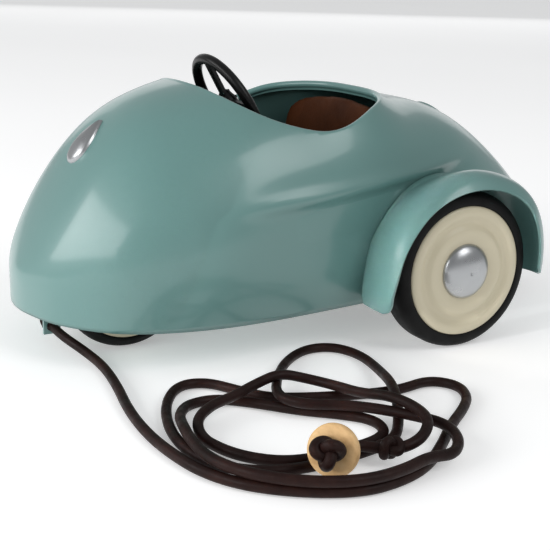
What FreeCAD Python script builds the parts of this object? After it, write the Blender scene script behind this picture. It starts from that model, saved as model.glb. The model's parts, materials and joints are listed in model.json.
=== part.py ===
"""Pull-along toy car: a pressed steel teardrop body on four disc wheels, with a tow cord.

Frame: millimetres, +X forward (nose), +Y to the car's left, +Z up, floor at Z = 0.
Lengths along the car are measured from the rear axle and shifted by the sheet's rear_axle_x,
so that the origin is under the middle of the car.
"""
import FreeCAD
import Part
import Sketcher
import math
import os

DOC = FreeCAD.newDocument("pull_along_car")
NODES = []


# ---------------------------------------------------------------- driving dimensions
SIZES = {
    # overall places
    "rear_axle_x": -30.6,
    "front_axle_ahead": 112.5,
    "rear_axle_height": 30.0,
    "front_axle_height": 24.0,
    "sill_height": 15.5,
    "shell_gauge": 1.2,
    "rim_roll": 4.0,
    "rim_lip": 2.4,
    # wheels
    "rear_tyre_radius": 30.0,
    "rear_disc_radius": 24.6,
    "rear_tyre_width": 13.4,
    "rear_wheel_out": 64.4,
    "front_tyre_radius": 24.0,
    "front_disc_radius": 19.8,
    "front_tyre_width": 10.4,
    "front_wheel_out": 13.4,
    "axle_radius": 2.0,
    "wheel_running_fit": 0.06,
    "disc_gauge": 0.8,
    # fenders
    "fender_gauge": 1.0,
    "fender_outer_edge": 75.0,
    # steering
    "steering_hub_ahead": 63.6,
    "steering_hub_height": 86.2,
    "steering_tilt": 30.0,
    "steering_rim_radius": 19.5,
    "steering_rim_tube": 2.0,
    "column_radius": 1.6,
    "column_length": 33.0,
    # floor, bulkhead and seat
    "pan_gauge": 1.2,
    "pan_height": 17.0,
    "bulkhead_ahead": 84.0,
    "seat_plate_height": 34.0,
    "seat_cushion_height": 9.0,
    "seat_back_half_width": 41.2,
    "seat_back_height": 51.0,
    "seat_back_thickness": 6.0,
    # tow cord
    "cord_radius": 1.7,
    "bead_radius": 7.7,
    "bead_thickness": 3.4,
}


class Dim:
    """A number together with the sheet expression that it comes from."""

    def __init__(self, text, value):
        self.text = text
        self.value = value

    def _join(self, sign, other, swap=False):
        other = other if isinstance(other, Dim) else Dim(repr(float(other)), float(other))
        first, second = (other, self) if swap else (self, other)
        values = {
            "+": lambda a, b: a + b,
            "-": lambda a, b: a - b,
            "*": lambda a, b: a * b,
            "/": lambda a, b: a / b,
        }
        return Dim(f"({first.text} {sign} {second.text})", values[sign](first.value, second.value))

    def __add__(self, other):
        return self._join("+", other)

    def __radd__(self, other):
        return self._join("+", other, swap=True)

    def __sub__(self, other):
        return self._join("-", other)

    def __rsub__(self, other):
        return self._join("-", other, swap=True)

    def __mul__(self, other):
        return self._join("*", other)

    def __rmul__(self, other):
        return self._join("*", other, swap=True)

    def __truediv__(self, other):
        return self._join("/", other)

    def __neg__(self):
        return 0 - self


def make_sheet():
    """Write every driving dimension to the spreadsheet, one row each."""
    sheet = DOC.addObject("Spreadsheet::Sheet", "Sizes")
    for row, (name, value) in enumerate(SIZES.items(), start=1):
        sheet.set(f"A{row}", name)
        sheet.set(f"B{row}", str(value))
        sheet.setAlias(f"B{row}", name)
    DOC.recompute()


def size(name):
    """The sheet's dimension of that name."""
    return Dim(f"Sizes.{name}", SIZES[name])


def as_dim(number):
    return number if isinstance(number, Dim) else Dim(repr(float(number)), float(number))


def bind(item, prop, number):
    """Bind a property to a sheet expression."""
    item.setExpression(prop, as_dim(number).text)


# ---------------------------------------------------------------- building helpers
def new_body(label):
    body = DOC.addObject("PartDesign::Body", label)
    body.Label = label
    return body


def node(item, label):
    """Register an object as a sub-part that is written out under its label."""
    item.Label = label
    NODES.append(item)
    return item


def sketch_on(body, role, name, lift=0.0):
    """A sketch on one of the body's own origin planes, lifted along the plane's normal."""
    plane = next(p for p in body.Origin.OriginFeatures if p.Role == role)
    sketch = body.newObject("Sketcher::SketchObject", name)
    sketch.AttachmentSupport = [(plane, "")]
    sketch.MapMode = "FlatFace"
    lift = as_dim(lift)
    sketch.AttachmentOffset = FreeCAD.Placement(FreeCAD.Vector(0, 0, lift.value), FreeCAD.Rotation())
    sketch.setExpression(".AttachmentOffset.Base.z", lift.text)
    return sketch


def fix_point(sketch, geometry, vertex, place):
    """Hold a vertex at sheet-driven distances from the sketch's origin."""
    for kind, coordinate in zip(("DistanceX", "DistanceY"), place):
        coordinate = as_dim(coordinate)
        index = sketch.addConstraint(Sketcher.Constraint(kind, -1, 1, geometry, vertex, coordinate.value))
        sketch.setExpression(f"Constraints[{index}]", coordinate.text)


def polygon(sketch, corners):
    """A closed outline through corners given as pairs of dimensions."""
    corners = [(as_dim(a), as_dim(b)) for a, b in corners]
    places = [FreeCAD.Vector(a.value, b.value, 0) for a, b in corners]
    first = sketch.GeometryCount
    count = len(corners)
    for i in range(count):
        sketch.addGeometry(Part.LineSegment(places[i], places[(i + 1) % count]), False)
    for i in range(count):
        after = first + (i + 1) % count
        sketch.addConstraint(Sketcher.Constraint("Coincident", first + i, 2, after, 1))
    for i, corner in enumerate(corners):
        fix_point(sketch, first + i, 1, corner)


def circle(sketch, centre, radius):
    radius = as_dim(radius)
    centre = [as_dim(c) for c in centre]
    middle = FreeCAD.Vector(centre[0].value, centre[1].value, 0)
    index = sketch.addGeometry(Part.Circle(middle, FreeCAD.Vector(0, 0, 1), radius.value), False)
    fix_point(sketch, index, 3, centre)
    hold = sketch.addConstraint(Sketcher.Constraint("Radius", index, radius.value))
    sketch.setExpression(f"Constraints[{hold}]", radius.text)


def smooth_outline(sketch, places, closed=True):
    """A spline through points, closed on itself or with a straight line."""
    curve = Part.BSplineCurve()
    points = [FreeCAD.Vector(a, b, 0) for a, b in places]
    curve.interpolate(Points=points, PeriodicFlag=closed)
    spline = sketch.addGeometry(curve, False)
    if not closed:
        line = sketch.addGeometry(Part.LineSegment(points[-1], points[0]), False)
        sketch.addConstraint(Sketcher.Constraint("Coincident", spline, 2, line, 1))
        sketch.addConstraint(Sketcher.Constraint("Coincident", line, 2, spline, 1))


def pad(body, sketch, length, midplane=False, flip=False):
    feature = body.newObject("PartDesign::Pad", "Pad")
    feature.Profile = sketch
    bind(feature, "Length", length)
    if midplane:
        feature.SideType = "Symmetric"
    feature.Reversed = flip
    return feature


def pocket(body, sketch, length, midplane=False, flip=False):
    feature = body.newObject("PartDesign::Pocket", "Pocket")
    feature.Profile = sketch
    bind(feature, "Length", length)
    if midplane:
        feature.SideType = "Symmetric"
    feature.Reversed = flip
    return feature


def turned(label, corners, role="XY_Plane", axis="V_Axis"):
    """A body turned about an axis of its sketch plane from (radius, along) corners."""
    body = new_body(label)
    sketch = sketch_on(body, role, label + "_section")
    polygon(sketch, corners)
    turn = body.newObject("PartDesign::Revolution", "Revolution")
    turn.Profile = sketch
    turn.ReferenceAxis = (sketch, [axis])
    turn.Angle = 360
    return body


def place(item, ahead=0.0, left=0.0, up=0.0, turn=FreeCAD.Rotation()):
    """Put an object at a place measured from the rear axle; each part is sheet-driven."""
    item.Placement = FreeCAD.Placement(FreeCAD.Vector(0, 0, 0), turn)
    bind(item, ".Placement.Base.x", size("rear_axle_x") + ahead)
    bind(item, ".Placement.Base.y", left)
    bind(item, ".Placement.Base.z", up)
    return item


def cut(label, base, tools):
    """Base less one or more tools."""
    for i, tool in enumerate(tools):
        result = DOC.addObject("Part::Cut", f"{label}_{i}")
        result.Base = base
        result.Tool = tool
        base = result
    return base


def common(label, first, second):
    result = DOC.addObject("Part::Common", label)
    result.Base = first
    result.Tool = second
    return result


def fuse(label, items):
    result = DOC.addObject("Part::MultiFuse", label)
    result.Shapes = items
    return result


# ---------------------------------------------------------------- the body's form
# One row for each frame of the teardrop body: distance ahead of the rear axle, half width at
# the belt, half width at the sill, belt height, crown height and fullness of the upper half.
FRAMES = [
    (-88.0, 4.0, 3.4, 28.0, 34.5, 2.0),
    (-86.0, 9.0, 8.0, 28.5, 38.0, 2.0),
    (-80.0, 16.5, 15.0, 29.5, 43.5, 2.0),
    (-66.0, 26.5, 24.2, 31.0, 56.5, 2.1),
    (-45.0, 37.5, 34.4, 33.0, 72.5, 2.3),
    (-20.0, 46.0, 42.5, 35.0, 85.0, 2.6),
    (6.0, 51.0, 47.2, 36.0, 91.0, 3.0),
    (28.0, 54.0, 49.6, 36.0, 99.0, 3.3),
    (48.0, 56.5, 52.0, 36.0, 98.5, 2.9),
    (72.0, 58.0, 54.4, 36.0, 97.5, 2.55),
    (92.0, 57.5, 54.6, 35.0, 93.8, 2.25),
    (112.0, 53.0, 51.2, 33.0, 84.0, 2.2),
    (128.0, 45.0, 44.0, 31.0, 66.5, 2.2),
    (138.0, 34.5, 33.8, 29.0, 51.0, 2.2),
    (144.6, 23.0, 22.6, 27.0, 39.0, 2.1),
    (147.8, 12.5, 12.3, 26.0, 32.5, 2.0),
    (149.2, 5.0, 4.9, 25.0, 28.5, 2.0),
]
TAIL_END = FRAMES[0][0]
NOSE_END = FRAMES[-1][0]
FORM_MIDDLE = 40.0
UPPER_STEPS = (15, 30, 45, 60, 75)


def frame_at(ahead):
    """The frame row at any distance ahead of the rear axle, by smooth interpolation."""
    last = len(FRAMES) - 1
    i = max(0, min(last - 1, sum(1 for row in FRAMES if row[0] <= ahead) - 1))
    before, low, high, after = (FRAMES[max(0, min(last, i + k))] for k in (-1, 0, 1, 2))
    span = high[0] - low[0]
    u = (ahead - low[0]) / span
    row = [ahead]
    for k in range(1, 6):
        rise = (high[k] - before[k]) / (high[0] - before[0]) * span
        fall = (after[k] - low[k]) / (after[0] - low[0]) * span
        row.append(
            low[k] * (2 * u**3 - 3 * u**2 + 1)
            + rise * (u**3 - 2 * u**2 + u)
            + high[k] * (3 * u**2 - 2 * u**3)
            + fall * (u**3 - u**2)
        )
    return row


def half_width(ahead, height, inset=0.0):
    """Half the body's width at a place above the sill, less an inset."""
    _, belt, sill, belt_height, crown, fullness = frame_at(ahead)
    if height <= belt_height:
        sill_height = SIZES["sill_height"]
        u = (height - sill_height) / (belt_height - sill_height)
        return belt - (belt - sill) * (1 - u) ** 2 - inset
    u = min(1.0, (height - belt_height) / (crown - inset - belt_height))
    return (belt - inset) * (1 - u**fullness) ** (1 / fullness)


def frame_outline(row, inset, drop):
    """Half of one frame's outline, from the sill up to the crown."""
    _, belt, sill, belt_height, crown, fullness = row
    bottom = SIZES["sill_height"] - drop
    points = [
        (sill - inset, bottom),
        (belt - (belt - sill) * 0.25 - inset, (bottom + belt_height) / 2),
        (belt - inset, belt_height),
    ]
    rise = crown - inset - belt_height
    for angle in UPPER_STEPS:
        turn = math.radians(angle)
        across = (belt - inset) * math.cos(turn) ** (2 / fullness)
        points.append((across, belt_height + rise * math.sin(turn) ** (2 / fullness)))
    return points, (0.0, crown - inset)


def hull(label, inset=0.0, drop=0.0):
    """A solid body form, inset from the outside by a wall thickness (negative: swollen)."""
    body = new_body(label)
    sections = []
    for row in FRAMES:
        reach = (row[0] - FORM_MIDDLE) / (NOSE_END - FORM_MIDDLE)
        sketch = sketch_on(body, "YZ_Plane", f"{label}_frame", row[0] - inset * reach)
        points, crown = frame_outline(row, inset, drop)
        mirrored = [(-y, z) for y, z in reversed(points)]
        smooth_outline(sketch, points + [crown] + mirrored, closed=False)
        sections.append(sketch)
    loft = body.newObject("PartDesign::AdditiveLoft", "Loft")
    loft.Profile = sections[0]
    loft.Sections = sections[1:]
    place(body)
    return body


# ---------------------------------------------------------------- body shell
# The cockpit's edge seen from the side: distance ahead of the rear axle, and height.
RIM_LINE = [(92.0, 99.5), (86.0, 95.2), (79.0, 90.6), (70.0, 86.0), (58.0, 82.2), (46.0, 80.8),
            (36.0, 83.2), (26.0, 87.2), (16.0, 89.6), (4.0, 91.4)]
RIM_TOP = 130.0


def rim_height(ahead):
    """Height of the cockpit's edge, straight between the points of RIM_LINE."""
    for (x1, z1), (x0, z0) in zip(RIM_LINE, RIM_LINE[1:]):
        if x0 <= ahead <= x1:
            return z0 + (z1 - z0) * (ahead - x0) / (x1 - x0)
    return RIM_LINE[0][1]


def above_rim(body, drop):
    """Cut away everything above the cockpit's edge line, lowered by a drop."""
    sketch = sketch_on(body, "XZ_Plane", "above_rim")
    points = [(x, z - drop) for x, z in RIM_LINE]
    curve = Part.BSplineCurve()
    curve.interpolate(Points=[FreeCAD.Vector(x, z, 0) for x, z in points])
    corners = [points[-1], (points[-1][0], RIM_TOP), (points[0][0], RIM_TOP), points[0]]
    spline = sketch.addGeometry(curve, False)
    lines = [
        sketch.addGeometry(Part.LineSegment(FreeCAD.Vector(*a, 0), FreeCAD.Vector(*b, 0)), False)
        for a, b in zip(corners, corners[1:])
    ]
    chain = [spline] + lines
    for a, b in zip(chain, chain[1:] + chain[:1]):
        sketch.addConstraint(Sketcher.Constraint("Coincident", a, 2, b, 1))
    pocket(body, sketch, 200, midplane=True)


def cockpit_outline():
    """The lip's inner edge in plan: the cockpit's edge moved in by the lip all round."""
    edge = []
    front, rear = 86.0, 7.0
    lip = SIZES["rim_lip"]
    for step in range(13):
        ahead = rear + (front - rear) * (0.5 - 0.5 * math.cos(math.pi * step / 12))
        across = half_width(ahead, rim_height(ahead))
        edge.append((ahead, across))
    widest = max(across for _, across in edge)
    shrink = (front - rear - 2 * lip) / (front - rear)
    centre = (front + rear) / 2
    half = [(centre + (x - centre) * shrink, y * (widest - lip) / widest) for x, y in edge[1:-1]]
    ends = [(rear + lip, 0.0)], [(front - lip, 0.0)]
    return ends[0] + half + ends[1] + [(x, -y) for x, y in reversed(half)]


def teardrop(body, role, length, width, lift):
    """A closed teardrop outline along the sketch's first axis, round end first."""
    sketch = sketch_on(body, role, "teardrop", lift)
    places = []
    for step in range(16):
        turn = 2 * math.pi * step / 16
        along = length / 2 * math.cos(turn)
        across = width / 2 * math.sin(turn) * (0.5 + 0.5 * math.cos(turn)) ** 0.6 * 1.25
        places.append((along, across))
    smooth_outline(sketch, places)
    return sketch


def body_shell():
    """Pressed shell, open underneath, with the cockpit's turned-in lip and a tail boss."""
    form = hull("shell_form")
    above_rim(form, 0.0)
    hollow = hull("shell_hollow", inset=SIZES["shell_gauge"], drop=3.0)
    above_rim(hollow, SIZES["rim_roll"])
    opening = new_body("cockpit_cut")
    sketch = sketch_on(opening, "XY_Plane", "cockpit_plan", 40.0)
    smooth_outline(sketch, cockpit_outline())
    pad(opening, sketch, 70)
    place(opening)
    axle_hole = DOC.addObject("Part::Cylinder", "axle_hole")
    bind(axle_hole, "Radius", size("axle_radius") + 1.2)
    axle_hole.Height = 120
    place(axle_hole, left=60, up=size("rear_axle_height"), turn=FreeCAD.Rotation(FreeCAD.Vector(1, 0, 0), 90))
    boss = common("tail_boss", tail_boss_block(), hull("boss_skin", inset=-1.5))
    whole = fuse("shell_with_boss", [cut("shell_pressed", form, [hollow, opening, axle_hole]), boss])
    return node(whole, "body_shell")


def tail_boss_block():
    """The teardrop boss on the tail's centre line, as a block through the skin."""
    block = new_body("tail_boss_block")
    sketch = teardrop(block, "XY_Plane", 17.0, 9.0, 0.0)
    pad(block, sketch, 12, midplane=True)
    outside = hull("boss_inner", inset=0.5)
    place(block, ahead=-33.5, up=79.0, turn=FreeCAD.Rotation(FreeCAD.Vector(0, 1, 0), -21))
    return cut("tail_boss_skin", block, [outside])


def hood_ornament():
    """Chrome teardrop that follows the hood, clear of it by a hair."""
    block = new_body("ornament_block")
    sketch = teardrop(block, "XY_Plane", 23.0, 12.5, 0.0)
    pad(block, sketch, 14, midplane=True)
    place(block, ahead=121.2, up=75.5, turn=FreeCAD.Rotation(FreeCAD.Vector(0, 1, 0), 52))
    raised = common("ornament_raised", block, hull("ornament_skin", inset=-2.4))
    return node(cut("ornament", raised, [hull("ornament_seat", inset=-0.04)]), "hood_ornament")


# ---------------------------------------------------------------- rivets
RIVET_RADIUS = 1.0
# Rivet places by node: distance ahead of the rear axle and to the left.
RIVETS = {
    "seat_rivets": [(46.4, 22.0), (46.4, -22.0)],
    "bulkhead_rivets": [(79.6, 24.0), (79.6, -24.0)],
    "bracket_rivets": [(0.0, 15.0), (0.0, -15.0), (108.3, 0.0), (116.7, 0.0)],
    "tow_tab_rivet": [(136.2, -4.4)],
}


def rivets(label, grip, base=0.0):
    """One node's cone-headed rivets through plates of a total grip, from a base below the floor."""
    solids = []
    for i, (ahead, left) in enumerate(RIVETS[label]):
        stem = DOC.addObject("Part::Cylinder", f"{label}_stem_{i}")
        stem.Radius = RIVET_RADIUS
        stem.Height = grip + RIVET_RADIUS
        head = DOC.addObject("Part::Cone", f"{label}_head_{i}")
        head.Radius1 = RIVET_RADIUS * 2
        head.Radius2 = RIVET_RADIUS
        head.Height = RIVET_RADIUS
        place(stem, ahead, left, size("pan_height") - base)
        place(head, ahead, left, size("pan_height") - base + grip)
        solids.append(fuse(f"{label}_rivet_{i}", [stem, head]))
    group = DOC.addObject("Part::Compound", label)
    group.Links = solids
    return node(group, label)


def drilled(item, label, *groups):
    """A plate with holes for the rivets of these groups."""
    holes = []
    for group in groups:
        for i, (ahead, left) in enumerate(RIVETS[group]):
            hole = DOC.addObject("Part::Cylinder", f"{label}_hole_{group}_{i}")
            hole.Radius = RIVET_RADIUS
            hole.Height = 8
            place(hole, ahead, left, size("pan_height") - 4.0)
            holes.append(hole)
    return cut(label, item, holes)


# ---------------------------------------------------------------- floor, bulkhead, tow tab
PAN_ENDS = (-79.0, 141.0)
TAB_AHEAD = 136.2
TAB_WIDTH = 6.4
TAB_HOLE_HEIGHT = 6.4


def plan_outline(ends, height, inset, steps=13):
    """The body's inside outline in plan at one height, between two stations."""
    side = []
    for step in range(steps):
        ahead = ends[0] + (ends[1] - ends[0]) * (0.5 - 0.5 * math.cos(math.pi * step / (steps - 1)))
        slant = half_width(ahead + 0.5, height) - half_width(ahead - 0.5, height)
        side.append((ahead, half_width(ahead, height) - inset * math.hypot(1.0, slant)))
    return side


def floor_pan():
    """Flat floor inside the shell, with a well for each front wheel."""
    pan = new_body("floor_pan_plate")
    sketch = sketch_on(pan, "XY_Plane", "pan_plan", size("pan_height"))
    side = plan_outline(PAN_ENDS, SIZES["pan_height"], SIZES["shell_gauge"] + 0.8)
    smooth_outline(sketch, side + [(x, -y) for x, y in reversed(side)], closed=False)
    pad(pan, sketch, size("pan_gauge"))
    wells = sketch_on(pan, "XY_Plane", "wheel_wells", size("pan_height"))
    ahead = size("front_axle_ahead")
    reach = size("front_tyre_radius") + 1.0
    near = size("front_wheel_out") - size("front_tyre_width") / 2 - 0.9
    far = size("front_wheel_out") + size("front_tyre_width") / 2 + 2.4
    for side_sign in (1, -1):
        polygon(wells, [
            (ahead - reach, near * side_sign),
            (ahead + reach, near * side_sign),
            (ahead + reach, far * side_sign),
            (ahead - reach, far * side_sign),
        ])
    pocket(pan, wells, 8, midplane=True)
    place(pan)
    return node(drilled(pan, "pan_drilled", *RIVETS), "floor_pan")


def bulkhead():
    """Upright panel ahead of the cockpit that carries the steering column."""
    panel = new_body("bulkhead_plate")
    ahead = SIZES["bulkhead_ahead"]
    base = SIZES["pan_height"] + SIZES["pan_gauge"]
    sketch = sketch_on(panel, "YZ_Plane", "bulkhead_face", size("bulkhead_ahead"))
    row = frame_at(ahead)
    points, crown = frame_outline(row, SIZES["shell_gauge"] + 0.8, 0.0)
    points = [(half_width(ahead, base) - SIZES["shell_gauge"] - 0.8, base)] + points[1:]
    top = rim_height(ahead) - 6.0
    points = [p for p in points if p[1] < top]
    points.append((half_width(ahead, top) - SIZES["shell_gauge"] - 2.4, top))
    outline = points + [(-y, z) for y, z in reversed(points)]
    polygon(sketch, outline)
    pad(panel, sketch, 1.2)
    foot = sketch_on(panel, "YZ_Plane", "bulkhead_foot", size("bulkhead_ahead") - 8.0)
    polygon(foot, [(-30, base), (30, base), (30, base + 1.2), (-30, base + 1.2)])
    pad(panel, foot, 8.6)
    place(panel)
    bush_seat = column_bore("bush_seat", size("column_radius") + 1.5, 20)
    bored = cut("bulkhead_bored", panel, [bush_seat])
    return node(drilled(bored, "bulkhead_drilled", "bulkhead_rivets"), "bulkhead")


def tow_tab():
    """Folded tab under the nose: its foot lies under the floor, the cord goes through its hole."""
    tab = new_body("tow_tab_strip")
    sketch = sketch_on(tab, "YZ_Plane", "tab_end", TAB_AHEAD - TAB_WIDTH / 2)
    top = size("pan_height") - 0.02
    polygon(sketch, [
        (-0.7, 3.4),
        (0.7, 3.4),
        (0.7, top),
        (-7.6, top),
        (-7.6, top - 1.2),
        (-0.7, top - 1.2),
    ])
    pad(tab, sketch, TAB_WIDTH)
    hole = sketch_on(tab, "XZ_Plane", "tab_hole")
    circle(hole, (TAB_AHEAD, TAB_HOLE_HEIGHT), size("cord_radius") + 0.4)
    pocket(tab, hole, 4, midplane=True)
    place(tab)
    return node(drilled(tab, "tow_tab_drilled", "tow_tab_rivet"), "tow_tab")


# ---------------------------------------------------------------- fenders
FENDER_CORNER = 5.0
# How far in from the fender's outer edge, how much its arch has swollen there, and the share of
# the dip by which it meets the body.
FENDER_CROWN = [
    (0.0, 0.0, 0.0), (1.6, 2.6, 0.0), (4.0, 4.4, 0.0), (7.0, 5.2, 0.0), (10.5, 4.9, 0.0),
    (14.5, 3.4, 0.0), (18.0, 1.8, 0.1), (22.5, 0.8, 1.0), (40.0, 0.5, 1.0),
]
# The inside of the fender's outer edge, front foot first: angle about the axle, distance from it,
# the share of the crown's swell there, and the dip towards the body.
FENDER_ARCH = [
    (-19, 35.4, 0.10, 3.2), (-10, 34.4, 0.16, 2.8), (0, 32.4, 0.27, 1.8), (14, 31.2, 0.48, 1.2),
    (30, 30.4, 0.55, 1.3), (50, 30.0, 0.56, 0.9), (70, 29.8, 0.76, 0.3), (90, 30.0, 0.97, 0.0),
    (108, 30.8, 1.0, 0.0), (125, 32.0, 1.0, 0.0), (140, 32.6, 1.0, 0.0), (155, 32.0, 1.0, 0.0),
    (170, 31.0, 1.0, 0.0), (188, 30.4, 1.0, 0.0),
]


def arch(swell=0.0, dipped=0.0, gauge=0.0):
    """Points of a fender's arch about the axle, from its front foot over to its rear foot."""
    points = []
    for angle, reach, share, dip in FENDER_ARCH:
        turn = math.radians(angle)
        distance = reach + share * swell - dipped * dip + gauge
        points.append((distance * math.cos(turn), distance * math.sin(turn)))
    return points


def chain_outline(sketch, first, second):
    """A closed outline of two splines joined by straight ends."""
    rows = (first, list(reversed(second)))
    curves = []
    for row in rows:
        curve = Part.BSplineCurve()
        curve.interpolate(Points=[FreeCAD.Vector(a, b, 0) for a, b in row])
        curves.append(sketch.addGeometry(curve, False))
    ends = ((rows[0][-1], rows[1][0]), (rows[1][-1], rows[0][0]))
    lines = [
        sketch.addGeometry(Part.LineSegment(FreeCAD.Vector(*a, 0), FreeCAD.Vector(*b, 0)), False)
        for a, b in ends
    ]
    chain = [curves[0], lines[0], curves[1], lines[1]]
    for a, b in zip(chain, chain[1:] + chain[:1]):
        sketch.addConstraint(Sketcher.Constraint("Coincident", a, 2, b, 1))


def fender(label, side):
    """Crowned arch over a rear wheel, its inner edge fitted to the body's side."""
    strip = new_body(label + "_strip")
    sections = []
    for inward, swell, dipped in FENDER_CROWN:
        sketch = sketch_on(strip, "XZ_Plane", "arch", -side * (size("fender_outer_edge") - inward))
        chain_outline(sketch, arch(swell, dipped), arch(swell, dipped, SIZES["fender_gauge"]))
        sections.append(sketch)
    loft = strip.newObject("PartDesign::AdditiveLoft", "Loft")
    loft.Profile = sections[0]
    loft.Sections = sections[1:]
    for front in (True, False):
        round_foot(strip, side, front)
    place(strip, up=size("rear_axle_height"))
    return node(cut(label + "_fitted", strip, [hull(label + "_hull", inset=-0.05)]), label)


def round_foot(strip, side, front):
    """Round off the outer corner of a fender's foot."""
    corner = sketch_on(strip, "YZ_Plane", "rounded_corner")
    foot = arch()[0 if front else -1]
    edge = SIZES["fender_outer_edge"]
    bottom = foot[1]
    middle = FreeCAD.Vector(side * (edge - FENDER_CORNER), bottom + FENDER_CORNER, 0)
    round_part = Part.Circle(middle, FreeCAD.Vector(0, 0, 1), FENDER_CORNER)
    quarter = (-math.pi / 2, 0.0) if side > 0 else (math.pi, 1.5 * math.pi)
    corner.addGeometry(Part.ArcOfCircle(round_part, *quarter), False)
    outside = [
        (side * edge, middle.y),
        (side * (edge + 2), middle.y),
        (side * (edge + 2), bottom - 2),
        (middle.x, bottom - 2),
        (middle.x, bottom),
    ]
    for start, stop in zip(outside, outside[1:]):
        line = Part.LineSegment(FreeCAD.Vector(*start, 0), FreeCAD.Vector(*stop, 0))
        corner.addGeometry(line, False)
    pocket(strip, corner, 60, flip=front)


# ---------------------------------------------------------------- wheels
def disc_section(radius, face, side):
    """Pressed wheel disc in section: hub eye, dished web, ring groove and rim."""
    gauge = size("disc_gauge")
    bore = size("axle_radius") + 3.0
    outline = [
        (bore, face - 2.2),
        (radius * 0.42, face - 2.2),
        (radius * 0.50, face - 0.6),
        (radius * 0.68, face),
        (radius * 0.73, face - 0.9),
        (radius * 0.80, face - 0.9),
        (radius * 0.85, face),
        (radius * 0.96, face - 0.2),
        (radius, face - 0.9),
    ]
    back = [(r, along - gauge) for r, along in reversed(outline)]
    return [(r, along * side) for r, along in outline + back]


def wheel(corner, end, side):
    """Tyre, two discs, hub and hubcap of one wheel; end is front or rear, side +1 for left."""
    tyre_radius = size(end + "_tyre_radius")
    disc_radius = size(end + "_disc_radius")
    half = size(end + "_tyre_width") / 2
    ahead = size("front_axle_ahead") if end == "front" else 0.0
    axle_height = size(end + "_axle_height")
    left = size(end + "_wheel_out") * side
    face = half + 0.5
    shoulder = half * 0.25
    seat = face - 1.75
    tyre = turned(corner + "_tyre", [
        (disc_radius - 3.2, seat),
        (disc_radius + 0.05, seat),
        (disc_radius + 0.05, half - 0.3),
        (disc_radius + 1.0, half),
        (tyre_radius - shoulder * 1.5, half),
        (tyre_radius - shoulder * 0.5, half - shoulder * 0.5),
        (tyre_radius, half - shoulder * 1.6),
        (tyre_radius, shoulder * 1.6 - half),
        (tyre_radius - shoulder * 0.5, shoulder * 0.5 - half),
        (tyre_radius - shoulder * 1.5, -half),
        (disc_radius + 1.0, -half),
        (disc_radius + 0.05, 0.3 - half),
        (disc_radius + 0.05, -seat),
        (disc_radius - 3.2, -seat),
    ])
    outer = turned(corner + "_disc_outer", disc_section(disc_radius, face, side))
    inner = turned(corner + "_disc_inner", disc_section(disc_radius, face, -side))
    bore = size("axle_radius") + size("wheel_running_fit")
    barrel = size("axle_radius") + 3.0
    web = face - 2.2
    hub = turned(corner + "_hub", [
        (bore, web + 0.9),
        (barrel, web + 0.9),
        (barrel, web - size("disc_gauge")),
        (barrel + 1.6, web - size("disc_gauge")),
        (barrel + 1.6, size("disc_gauge") - web),
        (barrel, size("disc_gauge") - web),
        (barrel, -web - 0.9),
        (bore, -web - 0.9),
    ])
    cap_radius = disc_radius * 0.41
    dome = disc_radius * 0.19
    cap_profile = [
        (cap_radius, web + 0.02),
        (cap_radius, web + 0.8),
        (cap_radius * 0.86, web + dome * 0.62),
        (cap_radius * 0.62, web + dome * 0.92),
        (cap_radius * 0.32, web + dome * 1.12),
        (0.0, web + dome * 1.2),
        (0.0, web + dome * 1.2 - 0.9),
        (cap_radius * 0.32, web + dome * 1.12 - 0.9),
        (cap_radius * 0.56, web + dome * 0.92 - 0.9),
        (cap_radius * 0.78, web + dome * 0.4),
        (cap_radius * 0.82, web + 0.02),
    ]
    cap = turned(corner + "_hubcap", [(r, along * side) for r, along in cap_profile])
    for piece in (tyre, outer, inner, hub, cap):
        place(piece, ahead=ahead, left=left, up=axle_height)
        node(piece, piece.Label)


def axle(end, ears):
    """Axle rod, its bracket, and the collars and push nuts that keep the wheels on."""
    ahead = size("front_axle_ahead") if end == "front" else 0.0
    axle_height = size(end + "_axle_height")
    radius = size("axle_radius")
    face = size(end + "_tyre_width") / 2 + 0.5
    hub_end = size(end + "_wheel_out") + face - 1.3
    hub_start = size(end + "_wheel_out") - face + 1.3
    nut_end = hub_end + 1.3
    rod = turned(end + "_axle", [
        (0.0, -nut_end - 0.3),
        (radius, -nut_end - 0.3),
        (radius, nut_end + 0.3),
        (0.0, nut_end + 0.3),
    ])
    place(rod, ahead=ahead, up=axle_height)
    node(rod, end + "_axle")
    for kind, start, width, girth in (
        ("nuts", hub_end + 0.2, 1.1, 1.9),
        ("collars", hub_start - 1.9, 1.7, 1.6),
    ):
        pair = []
        for side in (1, -1):
            ring = turned(f"{end}_{kind}_{'left' if side > 0 else 'right'}", [
                (radius, start * side),
                (radius + girth, start * side),
                (radius + girth, (start + width) * side),
                (radius, (start + width) * side),
            ])
            place(ring, ahead=ahead, up=axle_height)
            pair.append(ring)
        group = DOC.addObject("Part::Compound", f"{end}_axle_{kind}")
        group.Links = pair
        node(group, f"{end}_axle_{kind}")
    floor = size("pan_height") + size("pan_gauge")
    top = axle_height + 5.0
    bracket = new_body(end + "_bracket_channel")
    sketch = sketch_on(bracket, "YZ_Plane", "channel")
    polygon(sketch, [
        (-ears, floor),
        (ears, floor),
        (ears, top),
        (ears - 1.4, top),
        (ears - 1.4, floor + 1.4),
        (1.4 - ears, floor + 1.4),
        (1.4 - ears, top),
        (-ears, top),
    ])
    pad(bracket, sketch, 13, midplane=True)
    bore = sketch_on(bracket, "XZ_Plane", "axle_bore")
    circle(bore, (0.0, axle_height), radius)
    pocket(bracket, bore, 90, midplane=True)
    place(bracket, ahead=ahead)
    node(drilled(bracket, end + "_bracket_drilled", "bracket_rivets"), end + "_axle_bracket")


# ---------------------------------------------------------------- seat
SEAT_LEAN = 6.0


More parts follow.
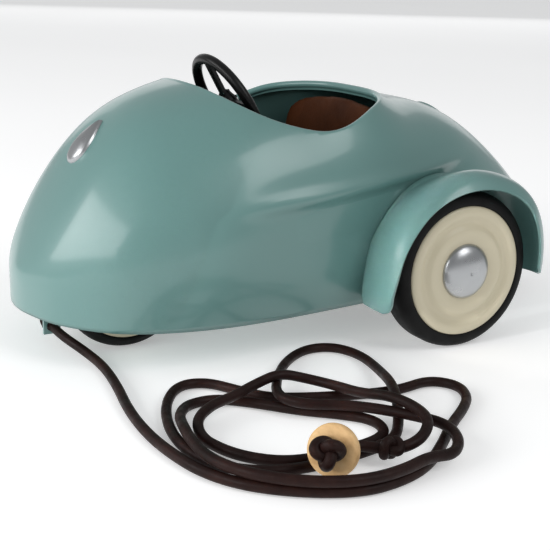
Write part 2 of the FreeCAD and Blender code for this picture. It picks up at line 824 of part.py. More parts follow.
# The seat back's rounded shoulder, in shares of its half width and its height.
SEAT_BACK_SHOULDER = [
    (1.0, 0.70), (0.97, 0.79), (0.92, 0.845), (0.82, 0.895), (0.66, 0.94), (0.45, 0.972), (0.22, 0.992),
]


def seat():
    """Folded seat plate on the floor, with the base cushion and the wrap-round back."""
    floor = size("pan_height") + size("pan_gauge")
    deck = size("seat_plate_height")
    plate = new_body("seat_plate")
    sketch = sketch_on(plate, "XZ_Plane", "seat_plate_side")
    polygon(sketch, [
        (11.2, deck),
        (50.0, deck),
        (50.0, floor + 1.2),
        (43.0, floor + 1.2),
        (43.0, floor),
        (51.2, floor),
        (51.2, deck + 1.2),
        (10.0, deck + 1.2),
        (10.0, floor + 1.2),
        (8.0, floor + 1.2),
        (8.0, floor),
        (11.2, floor),
    ])
    pad(plate, sketch, 66, midplane=True)
    place(plate)
    node(drilled(plate, "seat_plate_drilled", "seat_rivets"), "seat_frame")

    base = new_body("seat_base_cushion")
    outline = sketch_on(base, "XY_Plane", "cushion_plan", deck + 1.3)
    half, front, rear, corner = 37.0, 52.0, 20.8, 10.0
    polygon(outline, [
        (front, -half),
        (front, half),
        (rear + corner, half),
        (rear + corner * 0.3, half - corner * 0.3),
        (rear, half - corner),
        (rear, corner - half),
        (rear + corner * 0.3, corner * 0.3 - half),
        (rear + corner, -half),
    ])
    pad(base, outline, size("seat_cushion_height"))
    place(base)
    node(base, "seat_base")

    back = new_body("seat_back_cushion")
    face = sketch_on(back, "YZ_Plane", "back_face")
    width, tall = SIZES["seat_back_half_width"], SIZES["seat_back_height"]
    shoulder = [(width * across, tall * up) for across, up in SEAT_BACK_SHOULDER]
    polygon(face, [(-width, 0.0), (width, 0.0)] + shoulder + [(0.0, tall)]
            + [(-across, up) for across, up in reversed(shoulder)])
    pad(back, face, size("seat_back_thickness"))
    lean = FreeCAD.Rotation(FreeCAD.Vector(0, 1, 0), -SEAT_LEAN)
    place(back, ahead=13.6, up=deck + 1.6, turn=lean)
    return node(back, "seat_back")


# ---------------------------------------------------------------- steering
def on_column(item, along):
    """Put an object on the steering column, its own Z axis pointing up at the driver."""
    tilt = SIZES["steering_tilt"]
    item.Placement = FreeCAD.Placement(
        FreeCAD.Vector(0, 0, 0), FreeCAD.Rotation(FreeCAD.Vector(0, 1, 0), tilt - 90)
    )
    along = as_dim(along)
    shift = f"{along.text} * cos(Sizes.steering_tilt * 1 deg)"
    drop = f"{along.text} * sin(Sizes.steering_tilt * 1 deg)"
    item.setExpression(".Placement.Base.x", f"Sizes.rear_axle_x + Sizes.steering_hub_ahead - {shift}")
    item.setExpression(".Placement.Base.z", f"Sizes.steering_hub_height + {drop}")
    return item


def column_bore(label, radius, length):
    """A cylinder on the column's axis, centred on the bulkhead."""
    bore = DOC.addObject("Part::Cylinder", label)
    bind(bore, "Radius", radius)
    bore.Height = length
    reach = (SIZES["bulkhead_ahead"] - SIZES["steering_hub_ahead"]) / math.cos(
        math.radians(SIZES["steering_tilt"])
    )
    return on_column(bore, -reach - length / 2)


def steering():
    """Wheel rim, spokes and hub on a column that turns in a bush in the bulkhead."""
    rim_radius = size("steering_rim_radius")
    tube = size("steering_rim_tube")
    column = size("column_radius")
    spokes = new_body("steering_spokes_plate")
    centre = sketch_on(spokes, "XY_Plane", "spoke_centre", -0.7)
    circle(centre, (0, 0), 5.2)
    pad(spokes, centre, 1.4)
    arm = sketch_on(spokes, "XY_Plane", "spoke_arm", -0.7)
    polygon(arm, [(0, -2.1), (rim_radius - 0.6, -2.1), (rim_radius - 0.6, 2.1), (0, 2.1)])
    arm_pad = pad(spokes, arm, 1.4)
    holes = sketch_on(spokes, "XY_Plane", "spoke_holes", -2.0)
    for along in (6.9, 9.2, 11.5, 13.8):
        circle(holes, (along, 0), 0.7)
    hole_cut = pocket(spokes, holes, 4, flip=True)
    DOC.recompute()
    pattern = spokes.newObject("PartDesign::PolarPattern", "Spokes")
    pattern.Originals = [arm_pad, hole_cut]
    pattern.Axis = (centre, ["N_Axis"])
    pattern.Angle = 360
    pattern.Occurrences = 4
    spokes.Tip = pattern
    bore = sketch_on(spokes, "XY_Plane", "spoke_bore", -2.0)
    circle(bore, (0, 0), column)
    pocket(spokes, bore, 4, flip=True)
    on_column(spokes, 0.0)
    node(spokes, "steering_spokes")

    ring = DOC.addObject("Part::Torus", "steering_ring")
    bind(ring, "Radius1", rim_radius)
    bind(ring, "Radius2", tube)
    on_column(ring, 0.0)
    node(cut("steering_rim_notched", ring, [spokes]), "steering_rim")

    hub = turned("steering_hub", [
        (column, 0.7),
        (3.6, 0.7),
        (3.6, 1.6),
        (2.6, 2.6),
        (column, 2.6),
    ], role="XZ_Plane")
    collar = turned("steering_collar", [
        (column, -0.7),
        (column, -4.7),
        (2.8, -4.7),
        (3.6, -0.7),
    ], role="XZ_Plane")
    cap = turned("steering_cap", [
        (0.0, 2.65),
        (2.6, 2.65),
        (2.3, 3.4),
        (1.4, 3.9),
        (0.0, 4.1),
    ], role="XZ_Plane")
    reach = (size("bulkhead_ahead") - size("steering_hub_ahead")) / math.cos(
        math.radians(SIZES["steering_tilt"])
    )
    rod = turned("steering_column", [
        (0.0, 2.6),
        (column, 2.6),
        (column, -size("column_length")),
        (0.0, -size("column_length")),
    ], role="XZ_Plane")
    fit = column + 0.05
    bush = turned("column_bush", [
        (fit, 3.4 - reach),
        (column + 2.8, 3.4 - reach),
        (column + 2.8, 1.6 - reach),
        (column + 1.5, 1.6 - reach),
        (column + 1.5, -4.2 - reach),
        (fit, -4.2 - reach),
    ], role="XZ_Plane")
    clip = turned("column_clip", [
        (column, -reach - 4.6),
        (column + 1.8, -reach - 4.6),
        (column + 1.8, -reach - 5.6),
        (column, -reach - 5.6),
    ], role="XZ_Plane")
    for piece in (hub, collar, cap, rod, bush, clip):
        on_column(piece, 0.0)
        node(piece, piece.Label)


# ---------------------------------------------------------------- tow cord
# The lead from the knot behind the tow tab to the coil on the floor, measured from the rear axle.
LEAD_ROUTE = [
    (TAB_AHEAD, -2.4, TAB_HOLE_HEIGHT),
    (TAB_AHEAD, 9.4, 5.8),
    (131.4, 23.0, 2.9),
    (129.8, 38.0, 1.7),
    (132.4, 57.0, 1.7),
    (136.6, 77.0, 1.7),
    (138.4, 96.4, 1.7),
]
COIL_CENTRE = (82.0, 108.0)
COIL_OUTER = (58.0, 50.5)
COIL_BAND = 17.0
COIL_HEIGHT = 8.0
BEAD_PLACE = (101.7, 142.5, 8.0)
BEAD_HEADING = 38.4
BEAD_LEAN = 74.0
INNER_KNOT_PLACE = (83.0, 143.0, 4.9)


def cord_lead():
    """The cord's tube: straight runs joined by tangent arcs."""
    points = [FreeCAD.Vector(*p) for p in LEAD_ROUTE]
    edges = []
    start = points[0]
    for before, corner, after in zip(points, points[1:], points[2:]):
        come = corner - before
        leave = after - corner
        half_turn = come.getAngle(leave) / 2
        shorter = min(come.Length, leave.Length)
        radius = 0.45 * shorter / math.tan(half_turn)
        trim = 0.45 * shorter
        entry = corner - come.normalize() * trim
        leaving = corner + leave.normalize() * trim
        towards = ((before - corner).normalize() + (after - corner).normalize()).normalize()
        centre = corner + towards * (radius / math.cos(half_turn))
        bulge = centre - towards * radius
        edges.append(Part.makeLine(start, entry))
        edges.append(Part.Arc(entry, bulge, leaving).toShape())
        start = leaving
        print("cord bend radius", round(radius, 1))
    edges.append(Part.makeLine(start, points[-1]))
    wire = Part.Wire(edges)
    route = DOC.addObject("Part::Feature", "cord_route")
    route.Shape = wire
    section = DOC.addObject("Part::Circle", "cord_section")
    bind(section, "Radius", size("cord_radius"))
    heading = FreeCAD.Rotation(FreeCAD.Vector(0, 0, 1), points[1] - points[0])
    section.Placement = FreeCAD.Placement(points[0], heading)
    tube = DOC.addObject("Part::Sweep", "cord_tube")
    tube.Sections = [section]
    tube.Spine = (route, [f"Edge{i + 1}" for i in range(len(edges))])
    tube.Solid = True
    tube.Frenet = False
    place(tube)
    DOC.recompute()
    expected = math.pi * SIZES["cord_radius"] ** 2 * wire.Length
    print("cord lead volume", round(tube.Shape.Volume, 1), "expected", round(expected, 1))
    return node(tube, "cord_lead")


def ellipse_block(label, centre, reach, height):
    block = new_body(label)
    sketch = sketch_on(block, "XY_Plane", "oval")
    places = [
        (centre[0] + reach[0] * math.cos(a), centre[1] + reach[1] * math.sin(a))
        for a in (math.pi * k / 8 for k in range(16))
    ]
    smooth_outline(sketch, places)
    pad(block, sketch, height)
    return place(block)


def ball(label, radii, ahead, left, up, turn=FreeCAD.Rotation()):
    """An ellipsoid: radii along its own Z, X and Y."""
    item = DOC.addObject("Part::Ellipsoid", label)
    item.Radius1, item.Radius2, item.Radius3 = radii
    return place(item, ahead, left, up, turn)


def cord_coil_and_bead():
    """The coil's outer form, the bead that stands in it, and the knots in the cord."""
    heading = FreeCAD.Rotation(FreeCAD.Vector(0, 0, 1), BEAD_HEADING)
    turn = heading * FreeCAD.Rotation(FreeCAD.Vector(0, 1, 0), BEAD_LEAN)
    thickness = size("bead_thickness")
    bead = turned("bead_disc", [
        (size("cord_radius") + 0.1, -thickness / 2),
        (size("bead_radius") - 0.9, -thickness / 2),
        (size("bead_radius"), 0.9 - thickness / 2),
        (size("bead_radius"), thickness / 2 - 0.9),
        (size("bead_radius") - 0.9, thickness / 2),
        (size("cord_radius") + 0.1, thickness / 2),
    ], role="XZ_Plane")
    place(bead, *BEAD_PLACE, turn)
    node(bead, "cord_bead")
    reach = turn.multVec(FreeCAD.Vector(0, 0, SIZES["bead_thickness"] / 2 + 3.7))
    end_place = [a + b for a, b in zip(BEAD_PLACE, reach)]
    node(ball("end_knot", (3.6, 5.2, 5.8), *end_place, turn), "cord_knot_end")
    node(ball("inner_knot", (4.8, 5.2, 4.8), *INNER_KNOT_PLACE), "cord_knot_inner")
    node(ball("anchor_knot", (2.9, 2.9, 2.9), TAB_AHEAD, -4.0, TAB_HOLE_HEIGHT), "cord_knot_anchor")

    outer = ellipse_block("coil_outer", COIL_CENTRE, COIL_OUTER, COIL_HEIGHT)
    inner_reach = (COIL_OUTER[0] - COIL_BAND, COIL_OUTER[1] - COIL_BAND)
    inner = ellipse_block("coil_inner", COIL_CENTRE, inner_reach, COIL_HEIGHT)
    rooms = [
        ball("bead_room", (3.6, 8.8, 8.8), *BEAD_PLACE, turn),
        ball("end_knot_room", (4.1, 5.7, 6.3), *end_place, turn),
        ball("inner_knot_room", (5.2, 5.6, 5.2), *INNER_KNOT_PLACE),
    ]
    return node(cut("coil_form", outer, [inner] + rooms), "cord_coil")


# ---------------------------------------------------------------- build and write
def build():
    make_sheet()
    body_shell()
    hood_ornament()
    floor_pan()
    bulkhead()
    tow_tab()
    fender("fender_left", 1)
    fender("fender_right", -1)
    for end in ("rear", "front"):
        for side, name in ((1, "left"), (-1, "right")):
            wheel(f"{end}_{name}", end, side)
    axle("rear", 26.0)
    axle("front", 5.2)
    seat()
    steering()
    cord_lead()
    cord_coil_and_bead()
    rivets("seat_rivets", 2.4)
    rivets("bulkhead_rivets", 2.4)
    rivets("bracket_rivets", 2.6)
    rivets("tow_tab_rivet", 2.4, base=1.2)


def check_and_write():
    DOC.recompute()
    for item in DOC.Objects:
        if "Invalid" in item.State or "Error" in item.State:
            raise RuntimeError(f"{item.Name} ({item.Label}) failed: {item.State}")
    os.makedirs("parts", exist_ok=True)
    for item in NODES:
        shape = item.Shape
        if shape.isNull() or not shape.isValid() or not shape.Solids:
            raise RuntimeError(f"{item.Label} has no valid solid")
        shape.exportStep(f"parts/{item.Label}.step")
        print(item.Label, "solids", len(shape.Solids), "volume", round(shape.Volume, 1))


build()
check_and_write()
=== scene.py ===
"""Pull-along toy car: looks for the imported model. Metres, +X nose, +Y the car's left, +Z up."""
import bpy
import bmesh
import json
import math
import numpy as np
from mathutils import Matrix, Vector


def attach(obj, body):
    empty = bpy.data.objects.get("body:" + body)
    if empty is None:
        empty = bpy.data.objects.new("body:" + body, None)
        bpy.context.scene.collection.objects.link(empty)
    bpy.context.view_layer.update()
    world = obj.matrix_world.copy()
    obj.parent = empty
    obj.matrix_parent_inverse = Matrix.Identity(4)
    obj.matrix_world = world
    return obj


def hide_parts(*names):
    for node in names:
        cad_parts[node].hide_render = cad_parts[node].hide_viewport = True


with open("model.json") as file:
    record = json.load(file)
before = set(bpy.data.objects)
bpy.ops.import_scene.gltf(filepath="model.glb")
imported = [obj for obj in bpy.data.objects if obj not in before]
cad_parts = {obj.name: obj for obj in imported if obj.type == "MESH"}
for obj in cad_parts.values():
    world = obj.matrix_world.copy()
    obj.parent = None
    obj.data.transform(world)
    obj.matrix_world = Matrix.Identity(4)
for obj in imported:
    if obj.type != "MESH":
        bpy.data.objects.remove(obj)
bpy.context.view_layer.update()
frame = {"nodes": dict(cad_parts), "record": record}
NODES = frame["nodes"]
MM = 0.001
REAR_AXLE_X = -0.0306


def row(ahead, left, up):
    """A place in metres, from millimetres ahead of the rear axle, to the left and up."""
    return (ahead * MM + REAR_AXLE_X, left * MM, up * MM)


# ---------------------------------------------------------------- materials
class Graph:
    """A small helper for building one material's nodes."""

    def __init__(self, name):
        self.material = bpy.data.materials.new(name)
        self.material.use_nodes = True
        self.tree = self.material.node_tree
        self.tree.nodes.clear()
        output = self.tree.nodes.new("ShaderNodeOutputMaterial")
        self.shader = self.tree.nodes.new("ShaderNodeBsdfPrincipled")
        self.tree.links.new(self.shader.outputs[0], output.inputs[0])
        self.coords = self.tree.nodes.new("ShaderNodeTexCoord").outputs["Object"]

    def set(self, **values):
        for key, value in values.items():
            self.shader.inputs[key.replace("_", " ")].default_value = value
        return self

    def add(self, kind, inputs=None, **settings):
        node = self.tree.nodes.new(kind)
        for key, value in settings.items():
            setattr(node, key, value)
        for key, value in (inputs or {}).items():
            if isinstance(value, bpy.types.NodeSocket):
                self.tree.links.new(value, node.inputs[key])
            else:
                node.inputs[key].default_value = value
        return node

    def noise(self, scale, detail=3.0, stretch=None, roughness=0.5):
        vector = self.coords
        if stretch:
            vector = self.add("ShaderNodeMapping", {"Vector": vector, "Scale": stretch}).outputs[0]
        return self.add(
            "ShaderNodeTexNoise",
            {"Vector": vector, "Scale": scale, "Detail": detail, "Roughness": roughness},
        ).outputs["Fac"]

    def ramp(self, fac, stops):
        node = self.add("ShaderNodeValToRGB", {"Fac": fac})
        elements = node.color_ramp.elements
        while len(elements) < len(stops):
            elements.new(0.5)
        for element, (place, colour) in zip(elements, stops):
            element.position = place
            element.color = (*colour, 1.0)
        return node.outputs[0]

    def level(self, fac, low, high, at_low=0.3, at_high=0.7):
        node = self.add("ShaderNodeMapRange", {
            "Value": fac, "From Min": at_low, "From Max": at_high, "To Min": low, "To Max": high,
        })
        return node.outputs[0]

    def colour(self, socket):
        self.tree.links.new(socket, self.shader.inputs["Base Color"])
        return self

    def rough(self, socket):
        self.tree.links.new(socket, self.shader.inputs["Roughness"])
        return self

    def bump(self, *layers):
        """Bump from (height socket, distance in metres, strength) layers."""
        normal = None
        for height, distance, strength in layers:
            inputs = {"Height": height, "Distance": distance, "Strength": strength}
            if normal is not None:
                inputs["Normal"] = normal
            normal = self.add("ShaderNodeBump", inputs).outputs[0]
        self.tree.links.new(normal, self.shader.inputs["Normal"])
        return self


def paint(name, dark, mid, light, roughness, coat=0.6):
    """Sprayed enamel: faint mottling, slight orange peel, polished clear top."""
    g = Graph(name).set(Coat_Weight=coat, Coat_Roughness=0.13, Specular_IOR_Level=0.5)
    g.colour(g.ramp(g.noise(9.0, 4.0), [(0.3, dark), (0.5, mid), (0.72, light)]))
    g.rough(g.level(g.noise(60.0, 5.0), roughness - 0.04, roughness + 0.06))
    return g.bump((g.noise(520.0, 2.0), 0.00003, 0.10)).material


def make_materials():
    made = {}
    made["body"] = paint("aqua_enamel", (0.110, 0.229, 0.216), (0.115, 0.237, 0.223),
                         (0.120, 0.245, 0.230), 0.34)
    # Dark paint: the underside's own colour, and painted shade on the body's inner skin, standing
    # in for the cockpit's shadow.
    made["under"] = paint("dark_underside_and_painted_shade", (0.010, 0.016, 0.015), (0.013, 0.020, 0.019),
                          (0.016, 0.024, 0.023), 0.6, coat=0.0)
    made["cream"] = paint("cream_enamel", (0.53, 0.475, 0.345), (0.56, 0.505, 0.365),
                          (0.59, 0.535, 0.39), 0.42, coat=0.15)

    g = Graph("black_rubber").set(Specular_IOR_Level=0.14)
    g.colour(g.ramp(g.noise(90.0, 5.0),
                    [(0.3, (0.003, 0.003, 0.003)), (0.7, (0.006, 0.006, 0.006))]))
    g.rough(g.level(g.noise(240.0, 3.0), 0.48, 0.66))
    made["rubber"] = g.bump((g.noise(1400.0, 3.0), 0.00006, 0.25)).material

    g = Graph("polished_chrome").set(Metallic=1.0)
    g.colour(g.ramp(g.noise(40.0, 3.0), [(0.3, (0.40, 0.41, 0.42)), (0.7, (0.50, 0.51, 0.52))]))
    g.rough(g.level(g.noise(130.0, 4.0), 0.26, 0.36))
    made["chrome"] = g.bump((g.noise(300.0, 3.0), 0.00005, 0.10)).material

    g = Graph("plain_steel").set(Metallic=1.0)
    g.colour(g.ramp(g.noise(120.0, 4.0), [(0.3, (0.36, 0.36, 0.37)), (0.7, (0.50, 0.50, 0.51))]))
    g.rough(g.level(g.noise(300.0, 4.0), 0.28, 0.45))
    made["steel"] = g.bump((g.noise(900.0, 3.0), 0.00004, 0.15)).material

    g = Graph("black_moulded").set(Specular_IOR_Level=0.22)
    g.colour(g.ramp(g.noise(60.0, 3.0),
                    [(0.3, (0.003, 0.003, 0.003)), (0.7, (0.006, 0.006, 0.006))]))
    g.rough(g.level(g.noise(200.0, 4.0), 0.22, 0.36))
    made["black"] = g.bump((g.noise(700.0, 3.0), 0.00004, 0.12)).material

    g = Graph("brown_leather").set(Specular_IOR_Level=0.08)
    pebbles = g.add("ShaderNodeTexVoronoi", {"Vector": g.coords, "Scale": 620.0},
                    feature="DISTANCE_TO_EDGE").outputs["Distance"]
    g.colour(g.ramp(g.noise(34.0, 6.0, roughness=0.6),
                    [(0.28, (0.036, 0.010, 0.003)), (0.5, (0.058, 0.017, 0.005)),
                     (0.75, (0.082, 0.026, 0.008))]))
    g.rough(g.level(g.noise(160.0, 4.0), 0.42, 0.62))
    made["leather"] = g.bump((pebbles, 0.00025, 0.35), (g.noise(160.0, 4.0), 0.0003, 0.20)).material

    g = Graph("cord_leather").set(Specular_IOR_Level=0.14)
    g.colour(g.ramp(g.noise(70.0, 6.0, roughness=0.6),
                    [(0.25, (0.007, 0.003, 0.002)), (0.5, (0.015, 0.006, 0.005)),
                     (0.8, (0.034, 0.014, 0.011))]))
    g.rough(g.level(g.noise(260.0, 5.0), 0.34, 0.60))
    made["cord"] = g.bump((g.noise(900.0, 5.0, roughness=0.65), 0.00022, 0.5),
                          (g.noise(180.0, 3.0), 0.0003, 0.3)).material

    g = Graph("turned_wood").set(Specular_IOR_Level=0.35)
    grain = g.noise(170.0, 6.0, stretch=(1.0, 0.22, 1.0), roughness=0.6)
    g.colour(g.ramp(grain, [(0.28, (0.50, 0.29, 0.12)), (0.5, (0.74, 0.48, 0.23)),
                            (0.74, (0.84, 0.60, 0.32))]))
    g.rough(g.level(grain, 0.45, 0.62))
    made["wood"] = g.bump((grain, 0.0002, 0.3)).material

    g = Graph("pale_floor").set(Specular_IOR_Level=0.2, Emission_Color=(1.0, 1.0, 1.0, 1.0),
                                Emission_Strength=0.34)
    g.colour(g.ramp(g.noise(3.0, 2.0), [(0.2, (0.86, 0.86, 0.86)), (0.8, (0.89, 0.89, 0.89))]))
    g.rough(g.level(g.noise(12.0, 2.0), 0.80, 0.90))
    made["floor"] = g.material
    return made


MATERIALS = make_materials()
SLOT_LOOKS = {
    "body_paint": "body", "underside": "under", "wheel_paint": "cream", "tyre": "rubber",
    "chrome": "chrome", "steel": "steel", "steering_black": "black", "leather": "leather",
    "cord_leather": "cord", "bead_wood": "wood",
}
for part in frame["record"]["subparts"]:
    mesh = NODES[part["node"]].data
    mesh.materials.clear()
    mesh.materials.append(MATERIALS[SLOT_LOOKS[part["material_slot"]]])


# ---------------------------------------------------------------- mesh helpers
def add_object(name, mesh, look, body, replaces=()):
    """Put a mesh or curve in the scene, riding on a body and standing for CAD nodes."""
    item = bpy.data.objects.new(name, mesh)
    bpy.context.scene.collection.objects.link(item)
    mesh.materials.clear()
    mesh.materials.append(MATERIALS[look])
    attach(item, body)
    if replaces:
        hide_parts(*replaces)
    return item


def mesh_from(name, points, faces, smooth=True):
    mesh = bpy.data.meshes.new(name)
    mesh.from_pydata([tuple(p) for p in points], [], faces)
    mesh.update()
    mesh.polygons.foreach_set("use_smooth", [smooth] * len(mesh.polygons))
    return mesh


def grid_faces(rows, columns, wrap_columns=False):
    """Quads over a grid of points stored row by row."""
    faces = []
    last = columns if wrap_columns else columns - 1
    for i in range(rows - 1):
        here, above = i * columns, (i + 1) * columns
        for j in range(last):
            k = (j + 1) % columns
            faces.append((here + j, here + k, above + k, above + j))
    return faces


def turned_mesh(name, profile, steps=96):
    """A closed solid turned about local Z from (radius, height) points."""
    points = []
    for radius, height in profile:
        for k in range(steps):
            a = 2 * math.pi * k / steps
            points.append((radius * math.cos(a), radius * math.sin(a), height))
    faces = grid_faces(len(profile), steps, wrap_columns=True)
    top = (len(profile) - 1) * steps
    faces += [(top + j, top + (j + 1) % steps, (j + 1) % steps, j) for j in range(steps)]
    return mesh_from(name, points, faces)


def natural_spline(xs, ys):
    """A smooth function through the points, straight beyond both ends."""
    xs, ys = np.asarray(xs, float), np.asarray(ys, float)
    n = len(xs)
    h = np.diff(xs)
    matrix = np.eye(n)
    right = np.zeros(n)
    for i in range(1, n - 1):
        matrix[i, i - 1:i + 2] = (h[i - 1], 2 * (h[i - 1] + h[i]), h[i])
        right[i] = 6 * ((ys[i + 1] - ys[i]) / h[i] - (ys[i] - ys[i - 1]) / h[i - 1])
    m = np.linalg.solve(matrix, right)

    def value(x):
        x = np.asarray(x, float)
        i = np.clip(np.searchsorted(xs, x) - 1, 0, n - 2)
        inside = np.clip(x, xs[0], xs[-1])
        a, b = xs[i + 1] - inside, inside - xs[i]
        w = h[i]
        y = (m[i] * a**3 + m[i + 1] * b**3) / (6 * w)
        y = y + (ys[i] / w - m[i] * w / 6) * a + (ys[i + 1] / w - m[i + 1] * w / 6) * b
        slope_low = (ys[1] - ys[0]) / h[0] - h[0] * (2 * m[0] + m[1]) / 6
        slope_high = (ys[-1] - ys[-2]) / h[-1] + h[-1] * (m[-2] + 2 * m[-1]) / 6
        return y + np.where(x < xs[0], (x - xs[0]) * slope_low, 0) + np.where(
            x > xs[-1], (x - xs[-1]) * slope_high, 0)

    return value


def smoothstep(x):
    x = np.clip(x, 0, 1)
    return x * x * (3 - 2 * x)


# ---------------------------------------------------------------- camera
CAMERA_HEADING = math.radians(29.567)
CAMERA_HEIGHT = math.radians(15.736)
CAMERA_ROLL = math.radians(1.5)
CAMERA_PLACE = (256.2, 379.2, 137.8)
CAMERA_LENS = 72.0


def make_camera():
    """A camera off the car's front left, a little above it."""
    data = bpy.data.cameras.new("camera")
    data.lens = CAMERA_LENS
    data.sensor_width = 36.0
    data.clip_start = 0.01
    camera = bpy.data.objects.new("camera", data)
    bpy.context.scene.collection.objects.link(camera)
    heading, height, roll = CAMERA_HEADING, CAMERA_HEIGHT, CAMERA_ROLL
    flat = math.cos(height)
    back = Vector((math.sin(heading) * flat, math.cos(heading) * flat, math.sin(height)))
    level = Vector((-math.cos(heading), math.sin(heading), 0.0))
    upright = back.cross(level)
    across = level * math.cos(roll) + upright * math.sin(roll)
    above = upright * math.cos(roll) - level * math.sin(roll)
    camera.matrix_world = Matrix.Translation(row(*CAMERA_PLACE)) @ Matrix(
        (across, above, back)).transposed().to_4x4()
    bpy.context.scene.camera = camera


make_camera()


# ---------------------------------------------------------------- tow cord
CORD_DIAMETER = 0.0034
BEAD_PLACE = (101.7, 142.5, 8.0)
BEAD_LEAN = math.radians(74)
BEAD_TURN = math.radians(38.4)
# The cord's route in millimetres ahead of the rear axle, to the left and up: first from the tow tab
# to the coil, then its four loose turns on the floor.
LEAD = [
    (136.2, -2.4, 6.4), (136.2, 9.4, 5.8), (131.4, 23, 2.9), (129.8, 38, 1.7), (132.4, 57, 1.7),
    (136.6, 77, 1.7), (138.4, 96.4, 1.7),
]
FIRST_TURN = [
    (137.5, 113, 1.7), (134.5, 128, 1.7), (127, 140.5, 1.7), (114, 151, 1.7), (100, 157, 1.7),
    (87, 156, 1.7), (75, 151.5, 1.7), (63, 142, 1.7), (51, 131, 1.7), (40, 123, 1.7),
    (31.5, 115, 1.7), (28, 105, 1.7), (34.5, 97, 1.7), (48, 100, 1.7), (58, 99, 1.7), (70, 96, 1.7),
    (82, 92, 1.7), (92, 87, 1.7), (98, 77, 1.7), (104, 66, 1.7), (114, 64.5, 1.7), (124, 77, 1.7),
    (131, 95, 1.7),
]
SECOND_TURN = [
    (133, 112, 1.7), (129, 126, 1.7), (120, 134.5, 1.7), (108, 137.5, 1.7), (95, 137, 1.7),
    (84, 135.5, 1.7), (74, 133, 1.7), (65, 123, 1.8), (57, 109, 7.2), (46, 84, 3), (41.5, 65, 1.7),
    (46, 53.5, 1.7), (57, 51.5, 1.7), (70, 60, 1.7), (83, 77, 3.6), (93.5, 95, 5.7), (90, 104, 5.4),
    (80, 109, 5.3), (72, 116, 5.6), (64, 127, 5.8), (58, 137, 5.7),
]
THIRD_TURN = [
    (60.5, 147, 5.2), (67, 153, 4), (76, 153, 5.2), (88, 157, 5.2), (101, 157.5, 5.2),
    (114.5, 152, 5.2), (126.5, 141, 5.2), (132.5, 128, 5.2), (132, 114, 5.2), (129.5, 102, 5.4),
    (125, 90, 3), (118, 81, 1.7), (108, 80.5, 1.7), (99, 88, 1.7), (88, 101, 1.7), (78, 109, 1.7),
    (71, 117, 1.7),
]
FOURTH_TURN = [
    (72, 126, 1.7), (79, 131, 1.7), (90, 132.5, 1.7), (101, 133.5, 1.7), (111, 131.5, 1.7),
    (118.5, 125, 1.7), (123, 117, 1.7), (125.5, 107, 2.0), (123, 98, 4), (115, 92.5, 5.3),
    (106, 89.5, 5.4), (96, 86, 6.8), (86, 84, 8.2), (77, 86, 5.6), (71, 95, 5.2), (69, 107, 6.5),
    (66.5, 118, 9.4), (64, 128, 9.4), (65, 138, 8.8), (72, 144.5, 7), (79, 145, 5.2),
    (84, 142.5, 4.9), (90, 137.6, 5.1), (96.2, 138.1, 6.0), (101.7, 142.5, 8.0),
    (105.6, 145.6, 9.4),
]
CORD_ROUTE = LEAD + FIRST_TURN + SECOND_TURN + THIRD_TURN + FOURTH_TURN


def tube_curve(name, points, diameter, closed=False):
    """A round tube along a smooth spline with these control points."""
    curve = bpy.data.curves.new(name, "CURVE")
    curve.dimensions = "3D"
    curve.bevel_depth = diameter / 2
    curve.bevel_resolution = 6
    curve.resolution_u = 10
    curve.use_fill_caps = True
    spline = curve.splines.new("NURBS")
    spline.points.add(len(points) - 1)
    for point, place in zip(spline.points, points):
        point.co = (*place, 1.0)
    spline.order_u = 3
    spline.use_cyclic_u = closed
    spline.use_endpoint_u = not closed
    return curve


def knot(name, radius, thickness, place, turn, node, strand):
    """A tied knot: one strand wound three times through itself."""
    points = []
    for k in range(36):
        a = 2 * math.pi * k / 36
        local = Vector((
            radius * (math.sin(a) + 2 * math.sin(2 * a)) / 3,
            radius * (math.cos(a) - 2 * math.cos(2 * a)) / 3,
            -thickness * math.sin(3 * a),
        ))
        points.append(Matrix.Translation(place) @ turn @ local)
    curve = tube_curve(name, points, strand, closed=True)
    return add_object(name, curve, "cord", "car", replaces=(node,))


def make_cord():
    """The cord with its wooden bead and its three knots."""
    points = [row(*p) for p in CORD_ROUTE]
    cord = add_object("tow_cord", tube_curve("tow_cord", points, CORD_DIAMETER), "cord", "car",
                      replaces=("cord_lead", "cord_coil"))
    axis = Vector((math.sin(BEAD_LEAN) * math.cos(BEAD_TURN),
                   math.sin(BEAD_LEAN) * math.sin(BEAD_TURN), math.cos(BEAD_LEAN)))
    lean = axis.to_track_quat("Z", "Y").to_matrix().to_4x4()
    middle = Vector(row(*BEAD_PLACE))
    profile = [(1.9, -1.5), (2.3, -1.7), (6.4, -1.7), (7.15, -1.45), (7.6, -0.8), (7.7, 0.0),
               (7.6, 0.8), (7.15, 1.45), (6.4, 1.7), (2.3, 1.7), (1.9, 1.5)]
    mesh = turned_mesh("bead", [(r * MM, h * MM) for r, h in profile])
    mesh.transform(Matrix.Translation(middle) @ lean)
    bead = add_object("cord_bead_turned", mesh, "wood", "car", replaces=("cord_bead",))
    strand = CORD_DIAMETER
    end = knot("end_knot", 0.0037, 0.0019, middle + axis * 0.0054, lean, "cord_knot_end", strand)
    inner = knot("inner_knot", 0.0031, 0.0017, Vector(row(83, 143, 5.2)),
                 Matrix.Rotation(0.6, 4, "X"), "cord_knot_inner", strand * 0.9)
    anchor = knot("anchor_knot", 0.0022, 0.0012, Vector(row(136.2, -4.2, 6.4)),
                  Matrix.Rotation(math.pi / 2, 4, "X"), "cord_knot_anchor", strand * 0.75)


make_cord()


